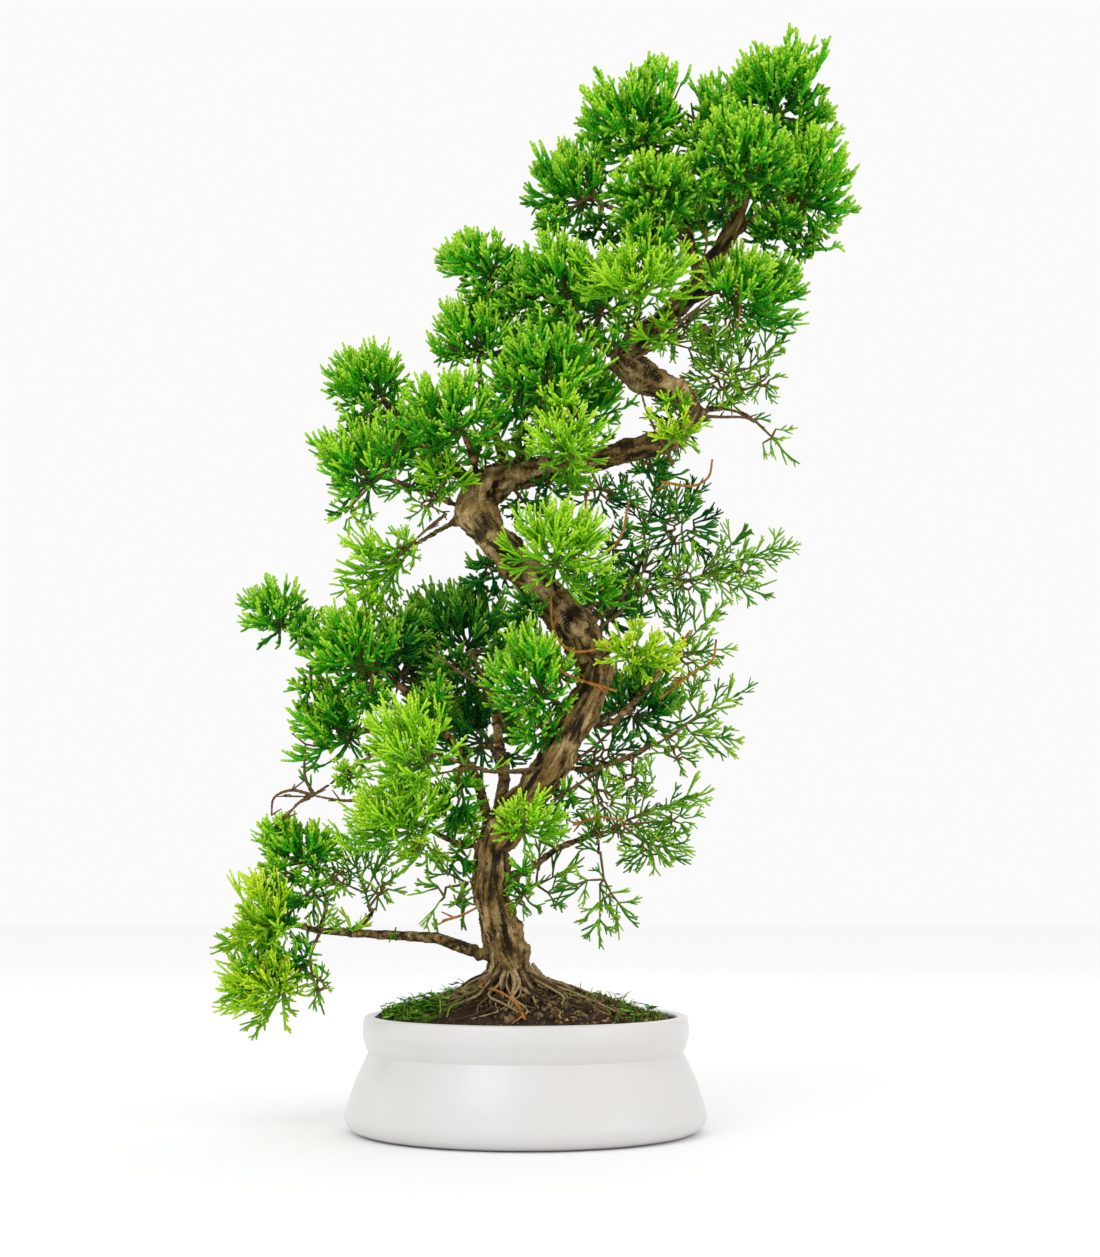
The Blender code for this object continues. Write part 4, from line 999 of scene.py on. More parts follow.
def limb_sprays(cords, anchor, wood, look, count, chance):
    """Short sprays on the limb below a tuft, up and outward from its bark."""
    near = [row for row in wood.find_range(anchor, look["limb_reach"]) if row[2] > 0.004]
    near.sort(key=lambda row: row[1])
    for _ in range(count if near else 0):
        place = chance.choice(near)[0]
        if on_trunk(place):
            continue
        way = (0.8 * UP + sideways(UP, chance) + 0.6 * (place - anchor).normalized()).normalized()
        end = place + way * chance.uniform(0.007, 0.013)
        leafy_spray(cords, place, end, look, chance, chance.uniform(0.0, 0.7))


def on_trunk(place):
    """Whether the place lies on the trunk and not on a limb."""
    return any((place - Vector(row[:3])).length < row[3] + 0.004 for row in TRUNK)


def made_up_needles(centre, radii, count, chance):
    """Needles for growth that no solid stands for: roots inside an egg shape and tips on its surface."""
    needles = []
    for k in range(count):
        z = 1 - (2 * k + 1) / count
        turn = math.pi * (3 - math.sqrt(5)) * k + chance.uniform(-0.4, 0.4)
        ring = math.sqrt(1 - z * z)
        way = Vector((radii[0] * ring * math.cos(turn), radii[1] * ring * math.sin(turn), radii[2] * z))
        reach = chance.uniform(0.75, 1.15)
        needles.append((centre + 0.35 * reach * way, centre + reach * way))
    return needles


def looks(settings):
    """How each kind of tuft grows, in metres, degrees and shares."""
    dense = {
        # A whip's half thickness, a spray's length, and the side whips on a leading whip
        "radius": settings.whip_radius,
        "length": 0.0135,
        "sides": settings.side_whips,
        # Angles at which side whips leave, and how much they turn back beside the leading whip
        "spread": (22, 48),
        "curl": 0.7,
        # How much the leading whip sags, and the share of whips that fork
        "sag": 0.24,
        "fork": 0.28,
        # Age at a whip's base, from 0 for a bare twig to 1 for a growing tip
        "base_age": 0.30,
        # Lobes of a tuft, how uneven they are, and how closely their sprays gather about the middle of each
        "lobes": 18,
        "swell": (0.88, 1.05),
        "gather": 0.14,
        # Tries for a spray inside the tuft, for each of its needles
        "filling": 2.5,
        # How far back the sprays' common middle lies, how far the tuft turns up, and how far its sprays lean
        "fan": 0.45,
        "upward": 0.8,
        "lean": 0.60,
        # How far a spray may pass its needle, how far down the limb sprays grow, and an open tuft's whips
        # for each needle
        "overreach": 0.0010,
        "limb_reach": 0.030,
        "whips": 1,
    }
    loose = dict(
        dense, radius=0.80 * settings.whip_radius, length=0.0165, sag=0.14, curl=0.4, swell=(0.84, 1.10)
    )
    thin = dict(
        dense,
        radius=0.68 * settings.whip_radius,
        sides=3,
        spread=(20, 42),
        curl=0.25,
        sag=0.05,
        fork=0.6,
        overreach=0.0030,
    )
    stout = dict(dense, radius=1.15 * settings.whip_radius, length=0.0120)
    return {"dense": dense, "stout": stout, "loose": loose, "open": thin}


def shades(settings):
    """The foliage's materials."""
    made = {}
    for name, (tip_share, own) in LEAF_SHADES.items():
        young = settings.yellow if name == "yellow" else settings.young
        made[name] = leaf_material(f"juniper_{name}", settings, tip_share, young, **own)
    return made


def shade_of(short):
    """Which shade a tuft has."""
    for name, group in (("bright", BRIGHT_TUFTS), ("yellow", YELLOW_TUFTS), ("dark", SHADE_DARKENED_TUFTS)):
        if short in group:
            return name
    return "olive" if short in OPEN_TUFTS else "green"


class JUNIPER_OT_foliage(bpy.types.Operator):
    """Grow the leafy tufts on the tree's limbs"""

    bl_idname = "juniper.foliage"
    bl_label = "Foliage"

    def execute(self, context):
        settings = context.scene.juniper_foliage
        wood = wood_tree()
        kinds = looks(settings)
        materials = shades(settings)
        names = sorted(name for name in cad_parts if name.startswith("foliage_"))
        for number, name in enumerate(names):
            short = name.replace("foliage_", "")
            chance = random.Random(FOLIAGE_SEED + number)
            needles, others = needles_of(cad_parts[name])
            anchor = min(others, key=lambda place: wood.find(place)[2])
            seat = wood.find(anchor)[0]
            anchor = seat + (seat - anchor).normalized() * 0.001 if (seat - anchor).length > 1e-5 else seat
            shade = shade_of(short)
            if short in OPEN_TUFTS:
                cords = open_tuft(needles, anchor, kinds["open"], chance)
                limb_sprays(cords, anchor, wood, kinds["open"], LIMB_SPRAYS, chance)
            else:
                kind = kinds["loose" if shade in ("bright", "yellow") else "dense"]
                if short.startswith(("apex", "crown")):
                    kind = kinds["stout"]
                cords = dense_tuft(needles, anchor, kind, chance)
                limb_sprays(cords, anchor, wood, kind, LIMB_SPRAYS, chance)
            parts = [part.arrays() for part in cords if part.rows]
            settle(mesh_object(f"leaves_{short}", parts, materials[shade]), "foliage", name)
        return {"FINISHED"}


def bridges():
    """Places between neighbouring bushy tufts, where their growth meets: middle, half size and shade."""
    bushes, places = [], []
    for name in sorted(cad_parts):
        short = name.replace("foliage_", "")
        if short != name and short not in OPEN_TUFTS:
            needles, _ = needles_of(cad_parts[name])
            hub = sum((root for root, _ in needles), Vector()) / len(needles)
            reach = sum((tip - hub).length for _, tip in needles) / len(needles)
            bushes.append((hub, reach, shade_of(short)))
    for (first, reach, shade), (second, other_reach, _) in combinations(bushes, 2):
        if (first - second).length < 1.12 * (reach + other_reach):
            middle = first.lerp(second, reach / (reach + other_reach))
            places.append((middle, 0.70 * min(reach, other_reach), "green" if shade == "yellow" else shade))
    return places


class JUNIPER_OT_fills(bpy.types.Operator):
    """Grow the sprays between the tufts"""

    bl_idname = "juniper.fills"
    bl_label = "Sprays between tufts"

    def execute(self, context):
        settings = context.scene.juniper_foliage
        wood = wood_tree()
        kinds = looks(settings)
        materials = shades(settings)
        parts = {shade: [] for shade in materials}
        for number, (_, centre, radii, kind, shade) in enumerate(FILLS):
            chance = random.Random(FILLS_SEED + number)
            middle = Vector(centre)
            anchor = wood.find(middle)[0]
            count = round(FILL_DENSITY[kind] * radii[0] * radii[2]) + FILL_NEEDLES
            needles = made_up_needles(middle, radii, count, chance)
            grow = open_tuft if kind == "open" else dense_tuft
            cords = grow(needles, anchor, dict(kinds[kind], lobes=FILL_LOBES, length=FILL_LENGTH), chance)
            parts[shade] += [part.arrays() for part in cords if part.rows]
        chance = random.Random(BRIDGES_SEED)
        for middle, reach, shade in bridges():
            needles = made_up_needles(middle, (reach, reach, reach), BRIDGE_NEEDLES, chance)
            look = dict(kinds["dense"], lobes=BRIDGE_LOBES, length=FILL_LENGTH, filling=0.8)
            cords = dense_tuft(needles, wood.find(middle)[0], look, chance)
            parts[shade] += [part.arrays() for part in cords if part.rows]
        for shade, arrays in parts.items():
            if arrays:
                settle(mesh_object(f"fill_sprays_{shade}", arrays, materials[shade]), "foliage")
        return {"FINISHED"}


def wander(cords, points, thick, thin, age_from, age_to, tint, steps=4):
    """A cord through all the points, in short curved runs that taper evenly."""
    places = [Vector(point) for point in points]
    line = [2 * places[0] - places[1], *places, 2 * places[-1] - places[-2]]
    run = []
    for a, b, c, d in zip(line, line[1:], line[2:], line[3:]):
        for k in range(steps):
            t = k / steps
            square = (2 * a - 5 * b + 4 * c - d) * t**2
            cube = (3 * b - a - 3 * c + d) * t**3
            run.append(0.5 * (2 * b + (c - a) * t + square + cube))
    run.append(places[-1])
    for k, (here, there) in enumerate(zip(run, run[1:])):
        first, last = k / (len(run) - 1), (k + 1) / (len(run) - 1)
        cords.add(
            here,
            here.lerp(there, 0.5),
            there,
            thick + (thin - thick) * first,
            thick + (thin - thick) * last,
            age_from + (age_to - age_from) * first,
            age_from + (age_to - age_from) * last,
            tint,
        )


class JUNIPER_OT_twigs(bpy.types.Operator):
    """Draw the thin leafless twigs and the dead, orange-brown shoots"""

    bl_idname = "juniper.twigs"
    bl_label = "Twigs and dead shoots"

    def execute(self, context):
        settings = context.scene.juniper_foliage
        chance = random.Random(TWIGS_SEED)
        twigs = Cords(2, 6)
        for points in BARE_TWIGS:
            wander(twigs, points, 0.00085, 0.0004, 0.0, 0.0, chance.random())
            for _ in range(3):
                place = Vector(chance.choice(points[1:]))
                way = sideways(UP, chance) + chance.uniform(-0.2, 0.9) * UP
                twigs.add(place, place + 0.003 * way, place + 0.0055 * way, 0.00045, 0.0003, 0.0, 0.0, 0.5)
        piece = mesh_object("bare_twigs", [twigs.arrays()], twig_material("dry_twig", settings.twig))
        settle(piece, "bark")
        shoots = Cords(2, 5)
        for points in DEAD_SHOOTS:
            wander(shoots, points, 0.0005, 0.0007, 0.0, 0.0, chance.random())
            end, before = Vector(points[-1]), Vector(points[-2])
            for _ in range(2):
                place = before.lerp(end, chance.uniform(0.2, 0.9))
                way = (end - before).normalized() + 0.9 * sideways(end - before, chance)
                shoots.add(place, place + 0.002 * way, place + 0.004 * way, 0.0005, 0.0004, 0.0, 0.0, 0.6)
        piece = mesh_object("dead_shoots", [shoots.arrays()], twig_material("dead_shoot", settings.dead))
        settle(piece, "bark")
        return {"FINISHED"}


def twig_material(name, colour):
    """A dry, slightly scaly finish in the given colour."""
    material, tree, shader = new_material(name)
    mottle = grouped(
        tree,
        shared_group("Mottle", mottle_group),
        Colour=rgba(colour),
        Dark=rgba([0.3 * value for value in colour]),
        Blotch_Scale=350.0,
        Grain_Scale=1800.0,
        Amount=0.8,
    )
    wire(tree, shader, mottle["Colour"], 0.85, mottle["Grain"], 0.6, 0.0004)
    shader.inputs["Specular IOR Level"].default_value = 0.2
    return material


def trunk_line(step=0.0012):
    """Close points along the trunk's middle line, with radius and distance from the foot."""
    points = np.array(TRUNK)
    gaps = np.linalg.norm(np.diff(points[:, :3], axis=0), axis=1)
    run = np.concatenate([[0], np.cumsum(gaps)])
    places = np.arange(0, run[-1], step)
    line = np.stack([np.interp(places, run, points[:, k]) for k in range(4)], axis=1)
    return line, places


def remeshed(source, name, voxel):
    """A finer copy of a solid, evened out over a grid of small cubes."""
    copy = source.copy()
    copy.data = source.data.copy()
    bpy.context.scene.collection.objects.link(copy)
    copy.hide_viewport = False
    weld = copy.modifiers.new("Weld", "WELD")
    weld.merge_threshold = 0.00001
    grid = copy.modifiers.new("Remesh", "REMESH")
    grid.mode = "VOXEL"
    grid.voxel_size = voxel
    evaluated = copy.evaluated_get(bpy.context.evaluated_depsgraph_get())
    mesh = bpy.data.meshes.new_from_object(evaluated)
    mesh.name = name
    bpy.data.objects.remove(copy)
    mesh.materials.clear()
    made = bpy.data.objects.new(name, mesh)
    bpy.context.scene.collection.objects.link(made)
    return made


def eased(places, edges, share, rounds):
    """The places moved towards the mean of their neighbours, by a share of the way each, a few times."""
    for _ in range(rounds):
        total, count = np.zeros_like(places), np.zeros(len(places))
        for one, other in ((0, 1), (1, 0)):
            np.add.at(total, edges[:, one], places[edges[:, other]])
            np.add.at(count, edges[:, one], 1)
        places = places + 0.5 * share[:, None] * (total / np.maximum(count, 1)[:, None] - places)
    return places


def bark_relief(place, beside, run):
    """Height of the bark, from a furrow at -1 to a ridge at 1: long, flaking strips that run up the trunk."""
    twist = 0.9 * noise.noise(Vector((0, 0, run / 0.020)))
    strips = Vector((beside.x / 0.0026 + twist, beside.y / 0.0026, run / 0.0115))
    ridge = 1 - 2 * abs(noise.noise(strips))
    plates = noise.noise(Vector((beside.x / 0.0040 + 7, beside.y / 0.0040, run / 0.0065)))
    flake = noise.noise(place / 0.0017) + 0.6 * noise.noise(place / 0.0008)
    return 0.70 * (ridge - 0.45) + 0.60 * plates + 0.34 * flake


def near_any(places, rows):
    """For each place, how deep it lies in the nearest of the rows' balls, from 0 outside to 1 at a middle."""
    share = np.zeros(len(places))
    for middle, reach in rows:
        away = np.linalg.norm(places - np.array(middle), axis=1) / reach
        share = np.maximum(share, np.clip(1.25 * (1 - away), 0, 1))
    return share


class JUNIPER_OT_wood(bpy.types.Operator):
    """Clothe the trunk, the limbs and the surface roots in bark"""

    bl_idname = "juniper.wood"
    bl_label = "Wood"

    def execute(self, context):
        settings = context.scene.juniper_bark
        piece = remeshed(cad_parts["wood"], "bark", BARK_VOXEL)
        mesh = piece.data
        count = len(mesh.vertices)
        places = np.zeros(count * 3, np.float32)
        mesh.vertices.foreach_get("co", places)
        normals = np.zeros(count * 3, np.float32)
        mesh.vertices.foreach_get("normal", normals)
        places, normals = places.reshape(-1, 3).astype(float), normals.reshape(-1, 3).astype(float)
        edges = np.zeros(len(mesh.edges) * 2, np.int32)
        mesh.edges.foreach_get("vertices", edges)
        line, runs = trunk_line()
        nearest = np.zeros(count, int)
        for first in range(0, count, 20000):
            block = places[first : first + 20000]
            nearest[first : first + 20000] = (((block[:, None] - line[None, :, :3]) ** 2).sum(2)).argmin(1)
        # How far each corner lies from the trunk's middle line, and so how much it belongs to the trunk
        offset = places - line[nearest, :3]
        away = np.linalg.norm(offset, axis=1)
        trunk_share = np.clip((1.55 * line[nearest, 3] - away) / (0.35 * line[nearest, 3]), 0, 1)
        places = eased(places, edges.reshape(-1, 2), 0.25 + 0.75 * trunk_share, 4)
        dead = near_any(places, DEADWOOD) * trunk_share
        relief, swell = np.zeros(count), np.zeros(count)
        for k in range(count):
            place = Vector(places[k])
            if trunk_share[k] > 0:
                beside = Vector((offset[k][0] - 0.35 * offset[k][2], offset[k][1], 0))
                relief[k] = bark_relief(place, beside, runs[nearest[k]])
                swell[k] = noise.noise(place / 0.0085) + 0.6 * noise.noise(place / 0.0042)
            rough = 0.8 * noise.noise(place / 0.0030) + 0.5 * noise.noise(place / 0.0013)
            relief[k] = trunk_share[k] * relief[k] + (1 - trunk_share[k]) * rough
        thickness = np.clip(line[nearest, 3] / 0.0068, 0.5, 1.3)
        limb_share = 1 - trunk_share
        depth = settings.ridge_depth * (trunk_share * thickness * (1 - 0.55 * dead) + 0.20 * limb_share)
        # Hollows, each with a raised lip round it
        pit = np.zeros(count)
        for middle, reach, deep in HOLLOWS:
            away = np.linalg.norm(places - np.array(middle), axis=1) / reach + 0.45 * relief
            pit += deep * np.exp(-((away / 1.1) ** 2)) - 0.35 * deep * np.exp(-(((away - 1.7) / 0.6) ** 2))
        pit *= trunk_share
        rise = relief * depth + 0.0017 * thickness * swell * trunk_share - pit + 0.00028 * limb_share
        places += normals * rise[:, None]
        # Deep in the hollows the relief drops, so the bark there takes the furrow colour as painted shade.
        relief -= 900 * np.clip(pit - 0.0010, 0, 0.0012)
        mesh.vertices.foreach_set("co", places.astype(np.float32).reshape(-1))
        for name, values in (("relief", relief), ("dead", dead)):
            layer = mesh.attributes.new(name, "FLOAT", "POINT")
            layer.data.foreach_set("value", values.astype(np.float32))
        # Places along the grain, so that the streaks run up the trunk and round its bends
        flow = np.stack([offset[:, 0] - 0.35 * offset[:, 2], offset[:, 1], 0.14 * runs[nearest]], axis=1)
        flow = flow * trunk_share[:, None] + places * limb_share[:, None]
        layer = mesh.attributes.new("flow", "FLOAT_VECTOR", "POINT")
        layer.data.foreach_set("vector", flow.astype(np.float32).reshape(-1))
        mesh.update()
        mesh.shade_smooth()
        mesh.materials.append(bark_material(settings))
        settle(piece, "bark", "wood")
        return {"FINISHED"}


def bark_material(settings):
    """Bark with painted shade in its furrows, cracks and hollows, tan on its worn ridges as wear and painted
    highlight, and pale where it has peeled.
    """
    material, tree, shader = new_material("juniper_bark")
    relief = attribute(tree, "relief")
    # Painted shade: the low relief of the furrows takes the near-black furrow colour.
    body = blended(tree, ranged(tree, relief, -0.45, 0.35), rgba(settings.furrow), rgba(settings.bark))
    flow = add_node(tree, "ShaderNodeAttribute", {"attribute_name": "flow"}).outputs["Vector"]
    streaks = clouds(tree, flow, 520.0, 4.0, Roughness=0.6)
    patches = ranged(tree, clouds(tree, object_place(tree), 75.0, 4.0), 0.50, 0.68)
    deadwood = ranged(tree, attribute(tree, "dead"), 0.05, 0.6)
    bare = maths(tree, "ADD", patches, deadwood, clamp=True)
    # The peeled colour sits on the ridge tops and raised streaks: real peeled wear, with a painted highlight
    # where the bark stands out.
    worn = maths(tree, "MULTIPLY", ranged(tree, relief, -0.1, 0.8), bare)
    peeled = blended(tree, worn, body, rgba(settings.peeled))
    mottle = grouped(
        tree,
        shared_group("Mottle", mottle_group),
        Dark=rgba(settings.furrow),
        Blotch_Scale=260.0,
        Grain_Scale=1500.0,
        Amount=0.40,
    )
    # Painted shade in the thin cracks along the grain, where the streaks run low.
    shaded_cracks = blended(tree, ranged(tree, streaks, 0.49, 0.38, 0.0, 0.92), peeled, rgba(settings.furrow))
    frayed_and_highlit = blended(tree, ranged(tree, streaks, 0.54, 0.66, 0.0, 0.7), shaded_cracks, rgba(settings.peeled))
    tree.links.new(frayed_and_highlit, mottle["Colour"].node.inputs["Colour"])
    wire(tree, shader, mottle["Colour"], 0.86, streaks, 1.0, 0.0012)
    shader.inputs["Specular IOR Level"].default_value = 0.25
    return material


def pot_profile():
    """Radius and height along the pot's outline, from the foot's middle out, up, over the rim and inside."""
    top, inner_rim = POT_TOP, RIM_RADIUS - POT_WALL
    outline = [(0.0, 0.0), (0.030, 0.0), (FOOT_RADIUS - 0.001, 0.0)]
    for k in range(9):
        angle = math.pi / 2 * k / 8
        radius = FOOT_RADIUS + (BELLY_RADIUS - FOOT_RADIUS) * math.sin(angle)
        outline.append((radius, BELLY_HEIGHT * (1 - math.cos(angle))))
    for k in range(1, 14):
        t = k / 14
        radius = BELLY_RADIUS + (NECK_RADIUS - BELLY_RADIUS) * t + 0.0009 * math.sin(math.pi * t)
        outline.append((radius, BELLY_HEIGHT + (NECK_HEIGHT - BELLY_HEIGHT) * t))
    for t in (0.0, 0.35, 0.7, 1.0):
        radius = NECK_RADIUS + (BAND_RADIUS - 0.0003 - NECK_RADIUS) * t**0.7
        outline.append((radius, NECK_HEIGHT + 0.0058 * t))
    outline += [(BAND_RADIUS, top - 0.0080), (BAND_RADIUS, top - 0.0040), (RIM_RADIUS + 0.0002, top - 0.0012)]
    outline += [(RIM_RADIUS - 0.0002, top - 0.0004), (RIM_RADIUS - 0.0010, top), (inner_rim + 0.0020, top)]
    outline += [(inner_rim + 0.0009, top - 0.0006), (inner_rim + 0.0006, top - 0.0040)]
    outline += [(NECK_RADIUS - POT_WALL, NECK_HEIGHT), (BELLY_RADIUS - POT_WALL - 0.0012, 0.0105)]
    return outline + [(BELLY_RADIUS - POT_WALL - 0.006, POT_FLOOR), (0.0, POT_FLOOR)]


def turned(name, outline, segments):
    """The outline turned once round the upright axis."""
    bm = bmesh.new()
    corners = [bm.verts.new((radius, 0.0, height)) for radius, height in outline]
    edges = [bm.edges.new(pair) for pair in zip(corners, corners[1:])]
    bmesh.ops.spin(
        bm,
        geom=corners + edges,
        axis=(0, 0, 1),
        cent=(0, 0, 0),
        angle=2 * math.pi,
        steps=segments,
        use_duplicate=False,
    )
    bmesh.ops.remove_doubles(bm, verts=bm.verts, dist=1e-6)
    bmesh.ops.recalc_face_normals(bm, faces=bm.faces)
    mesh = bpy.data.meshes.new(name)
    bm.to_mesh(mesh)
    bm.free()
    made = bpy.data.objects.new(name, mesh)
    bpy.context.scene.collection.objects.link(made)
    return made


class JUNIPER_OT_pot(bpy.types.Operator):
    """Turn the white glazed pot and bore its drain holes"""

    bl_idname = "juniper.pot"
    bl_label = "Pot"

    def execute(self, context):
        settings = context.scene.juniper_pot
        pot = turned("glazed_pot", pot_profile(), settings.segments)
        drills = []
        low, high = -0.003, 0.012
        for x in (-DRAIN_OFFSET, DRAIN_OFFSET):
            drill = turned("drill", [(0, low), (DRAIN_RADIUS, low), (DRAIN_RADIUS, high), (0, high)], 40)
            drill.location.x = x
            drills.append(drill)
            cut = pot.modifiers.new("Drain hole", "BOOLEAN")
            cut.operation = "DIFFERENCE"
            cut.object = drill
            cut.solver = "EXACT"
        bpy.context.view_layer.update()
        bored = bpy.data.meshes.new_from_object(pot.evaluated_get(bpy.context.evaluated_depsgraph_get()))
        pot.modifiers.clear()
        pot.data = bored
        for drill in drills:
            bpy.data.objects.remove(drill)
        bored.shade_smooth()
        bored.set_sharp_from_angle(angle=math.radians(40))
        material, tree, shader = new_material("white_glaze")
        place = object_place(tree)
        cloud = clouds(tree, place, 16.0, 2.0)
        warm = tuple(value * share for value, share in zip(settings.glaze, (0.965, 0.955, 0.94)))
        tone = blended(tree, ranged(tree, cloud, 0.4, 0.65), rgba(settings.glaze), rgba(warm))
        specks = add_node(tree, "ShaderNodeTexVoronoi", None, Vector=place, Scale=210.0).outputs["Distance"]
        speck = blended(tree, ranged(tree, specks, 0.05, 0.0, 0.0, 0.16), tone, (0.42, 0.36, 0.30, 1.0))
        ripple = clouds(tree, place, 60.0, 3.0)
        wire(tree, shader, speck, ranged(tree, cloud, 0.3, 0.7, 0.30, 0.42), ripple, 0.25, 0.0006)
        shader.inputs["Coat Weight"].default_value = 0.25
        shader.inputs["Coat Roughness"].default_value = 0.2
        bored.materials.clear()
        bored.materials.append(material)
        settle(pot, "glaze", "pot")
        return {"FINISHED"}


def mound_height(x, y):
    """Height of the solid soil's surface, which falls from the trunk's foot to the pot's edge."""
    away = (Vector((x, y)) - Vector(MOUND_CENTRE)).length / MOUND_RADIUS
    fall = 1.0 - min(1.0, away) ** MOUND_STEEPNESS
    lumps = math.sin(310 * x + 1.3) * math.cos(270 * y) + 0.6 * math.sin(520 * y + 400 * x)
    lump = SOIL_LUMP * lumps * min(1.0, 4 * max(0.0, 1.0 - away))
    return POT_TOP - SOIL_DROP + MOUND_RISE * fall + lump


def soil_surface(x, y):
    """Height of the crumbly surface that is seen, a little over the solid one."""
    rough = 0.0011 * noise.noise(Vector((x, y, 0)) / 0.006) + 0.0006 * noise.noise(Vector((x, y, 3)) / 0.0022)
    away = math.hypot(x + 0.005, y - 0.002) / 0.0595
    heap = 0.0022 * max(0.0, min(1.0, (x - 0.005) / 0.015)) * max(0.0, 1.0 - away)
    return mound_height(x, y) + 0.0007 + heap + rough


class JUNIPER_OT_soil(bpy.types.Operator):
    """Lay the crumbly soil surface over the mound"""

    bl_idname = "juniper.soil"
    bl_label = "Soil"

    def execute(self, context):
        settings = context.scene.juniper_ground
        material, tree, shader = new_material("damp_soil")
        mottle = grouped(
            tree,
            shared_group("Mottle", mottle_group),
            Colour=rgba(settings.soil),
            Dark=rgba([0.3 * value for value in settings.soil]),
            Blotch_Scale=300.0,
            Grain_Scale=1400.0,
            Amount=0.9,
        )
        wire(tree, shader, mottle["Colour"], 0.95, mottle["Grain"], 1.0, 0.0010)
        shader.inputs["Specular IOR Level"].default_value = 0.15
        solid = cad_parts["soil"]
        solid.data.materials.clear()
        solid.data.materials.append(material)
        rings, spokes = 44, 150
        middle_x, middle_y = MOUND_CENTRE
        corners, faces = [(middle_x, middle_y, soil_surface(middle_x, middle_y))], []
        for ring in range(1, rings + 1):
            for spoke in range(spokes):
                angle = 2 * math.pi * spoke / spokes
                share = ring / rings
                x = middle_x * (1 - share) + SOIL_EDGE * share * math.cos(angle)
                y = middle_y * (1 - share) + SOIL_EDGE * share * math.sin(angle)
                corners.append((x, y, soil_surface(x, y)))
        for ring in range(1, rings):
            for spoke in range(spokes):
                here = 1 + (ring - 1) * spokes + spoke
                beside = 1 + (ring - 1) * spokes + (spoke + 1) % spokes
                faces.append((here, here + spokes, beside + spokes, beside))
        hub = [(0, 1 + spoke, 1 + (spoke + 1) % spokes) for spoke in range(spokes)]
        surface = mesh_object("soil_surface", [(np.array(corners), faces, hub, {})], material)
        settle(surface, "soil")
        return {"FINISHED"}


def scattered(count, chance, start, end, near, far):
    """Places on the soil between two bearings in degrees and two distances from the trunk's foot."""
    places = []
    for _ in range(count):
        bearing = math.radians(chance.uniform(start, end))
        away = math.sqrt(chance.uniform(near**2, far**2))
        x = MOUND_CENTRE[0] + away * math.cos(bearing)
        y = MOUND_CENTRE[1] + away * math.sin(bearing)
        if math.hypot(x, y) < GROUND_EDGE:
            places.append(Vector((x, y, soil_surface(x, y))))
    return places


def chunks(places, low, high, seed):
    """Small uneven eight-sided chunks at the places, with half sizes between two bounds on each axis."""
    chance = np.random.default_rng(seed)
    count = len(places)
    points = np.array([(1, 0, 0), (-1, 0, 0), (0, 1, 0), (0, -1, 0), (0, 0, 1), (0, 0, -1)], float)
    sizes = chance.uniform(low, high, (count, 1, 3)) * chance.uniform(0.5, 1.0, (count, 1, 1))
    shapes = points * chance.uniform(0.6, 1.25, (count, 6, 1)) * sizes
    # A random turn for each chunk, from a unit quaternion
    a, b, c, d = chance.normal(size=(4, count)) + 0.001
    size = np.sqrt(a * a + b * b + c * c + d * d)
    a, b, c, d = a / size, b / size, c / size, d / size
    turns = np.array(
        [
            [1 - 2 * (c * c + d * d), 2 * (b * c - a * d), 2 * (b * d + a * c)],
            [2 * (b * c + a * d), 1 - 2 * (b * b + d * d), 2 * (c * d - a * b)],
            [2 * (b * d - a * c), 2 * (c * d + a * b), 1 - 2 * (b * b + c * c)],
        ]
    )
    corners = np.einsum("ijn,nkj->nki", turns, shapes) + np.array(places, float)[:, None]
    sides = np.array([(0, 2, 4), (2, 1, 4), (1, 3, 4), (3, 0, 4), (2, 0, 5), (1, 2, 5), (3, 1, 5), (0, 3, 5)])
    faces = (sides[None] + 6 * np.arange(count)[:, None, None]).reshape(-1, 3)
    return corners.reshape(-1, 3), [], faces, {"tint": np.repeat(chance.random(count), 6)}


def leaflets(places, chance):
    """Three-part leaves: each part an oval folded a little along its middle."""
    corners, faces, tints = [], [], []
    for place in places:
        top = place + Vector((chance.uniform(-1, 1), chance.uniform(-1, 1), 0)) * 0.0012
        top.z += chance.uniform(0.0008, 0.0032)
        turn, size, tint = chance.uniform(0, 2 * math.pi), chance.uniform(0.0016, 0.0032), chance.random()
        for part in range(3):
            bearing = turn + part * 2 * math.pi / 3
            along = Vector((math.cos(bearing), math.sin(bearing), chance.uniform(-0.2, 0.35)))
            across = along.cross(UP).normalized()
            first = len(corners)
            for share, width, drop in ((0, 0, 0), (0.45, 0.5, 0.12), (0.9, 0.55, 0.10), (1.15, 0.0, 0.0)):
                middle = top + size * share * along
                corners.append(middle + size * width * across + size * drop * UP)
                corners.append(middle - size * width * across + size * drop * UP)
                corners.append(middle)
                tints += [tint] * 3
            for k in (0, 3, 6):
                for side in (0, 1):
                    faces.append((first + k + side, first + k + 3 + side, first + k + 5, first + k + 2))
    return np.array(corners), faces, [], {"tint": np.array(tints)}


def ground_material(name, dark, light, roughness):
    """A finish that runs from dark to light with each piece's own tint, with a fine grain over it."""
    material, tree, shader = new_material(name)
    tone = blended(tree, ranged(tree, attribute(tree, "tint"), 0.0, 1.0), rgba(dark), rgba(light))
    mottle = grouped(
        tree,
        shared_group("Mottle", mottle_group),
        Dark=rgba([0.4 * value for value in dark]),
        Blotch_Scale=400.0,
        Grain_Scale=2200.0,
        Amount=0.5,
    )
    tree.links.new(tone, mottle["Colour"].node.inputs["Colour"])
    wire(tree, shader, mottle["Colour"], roughness, mottle["Grain"], 0.5, 0.0003)
    shader.inputs["Specular IOR Level"].default_value = 0.15
    return material


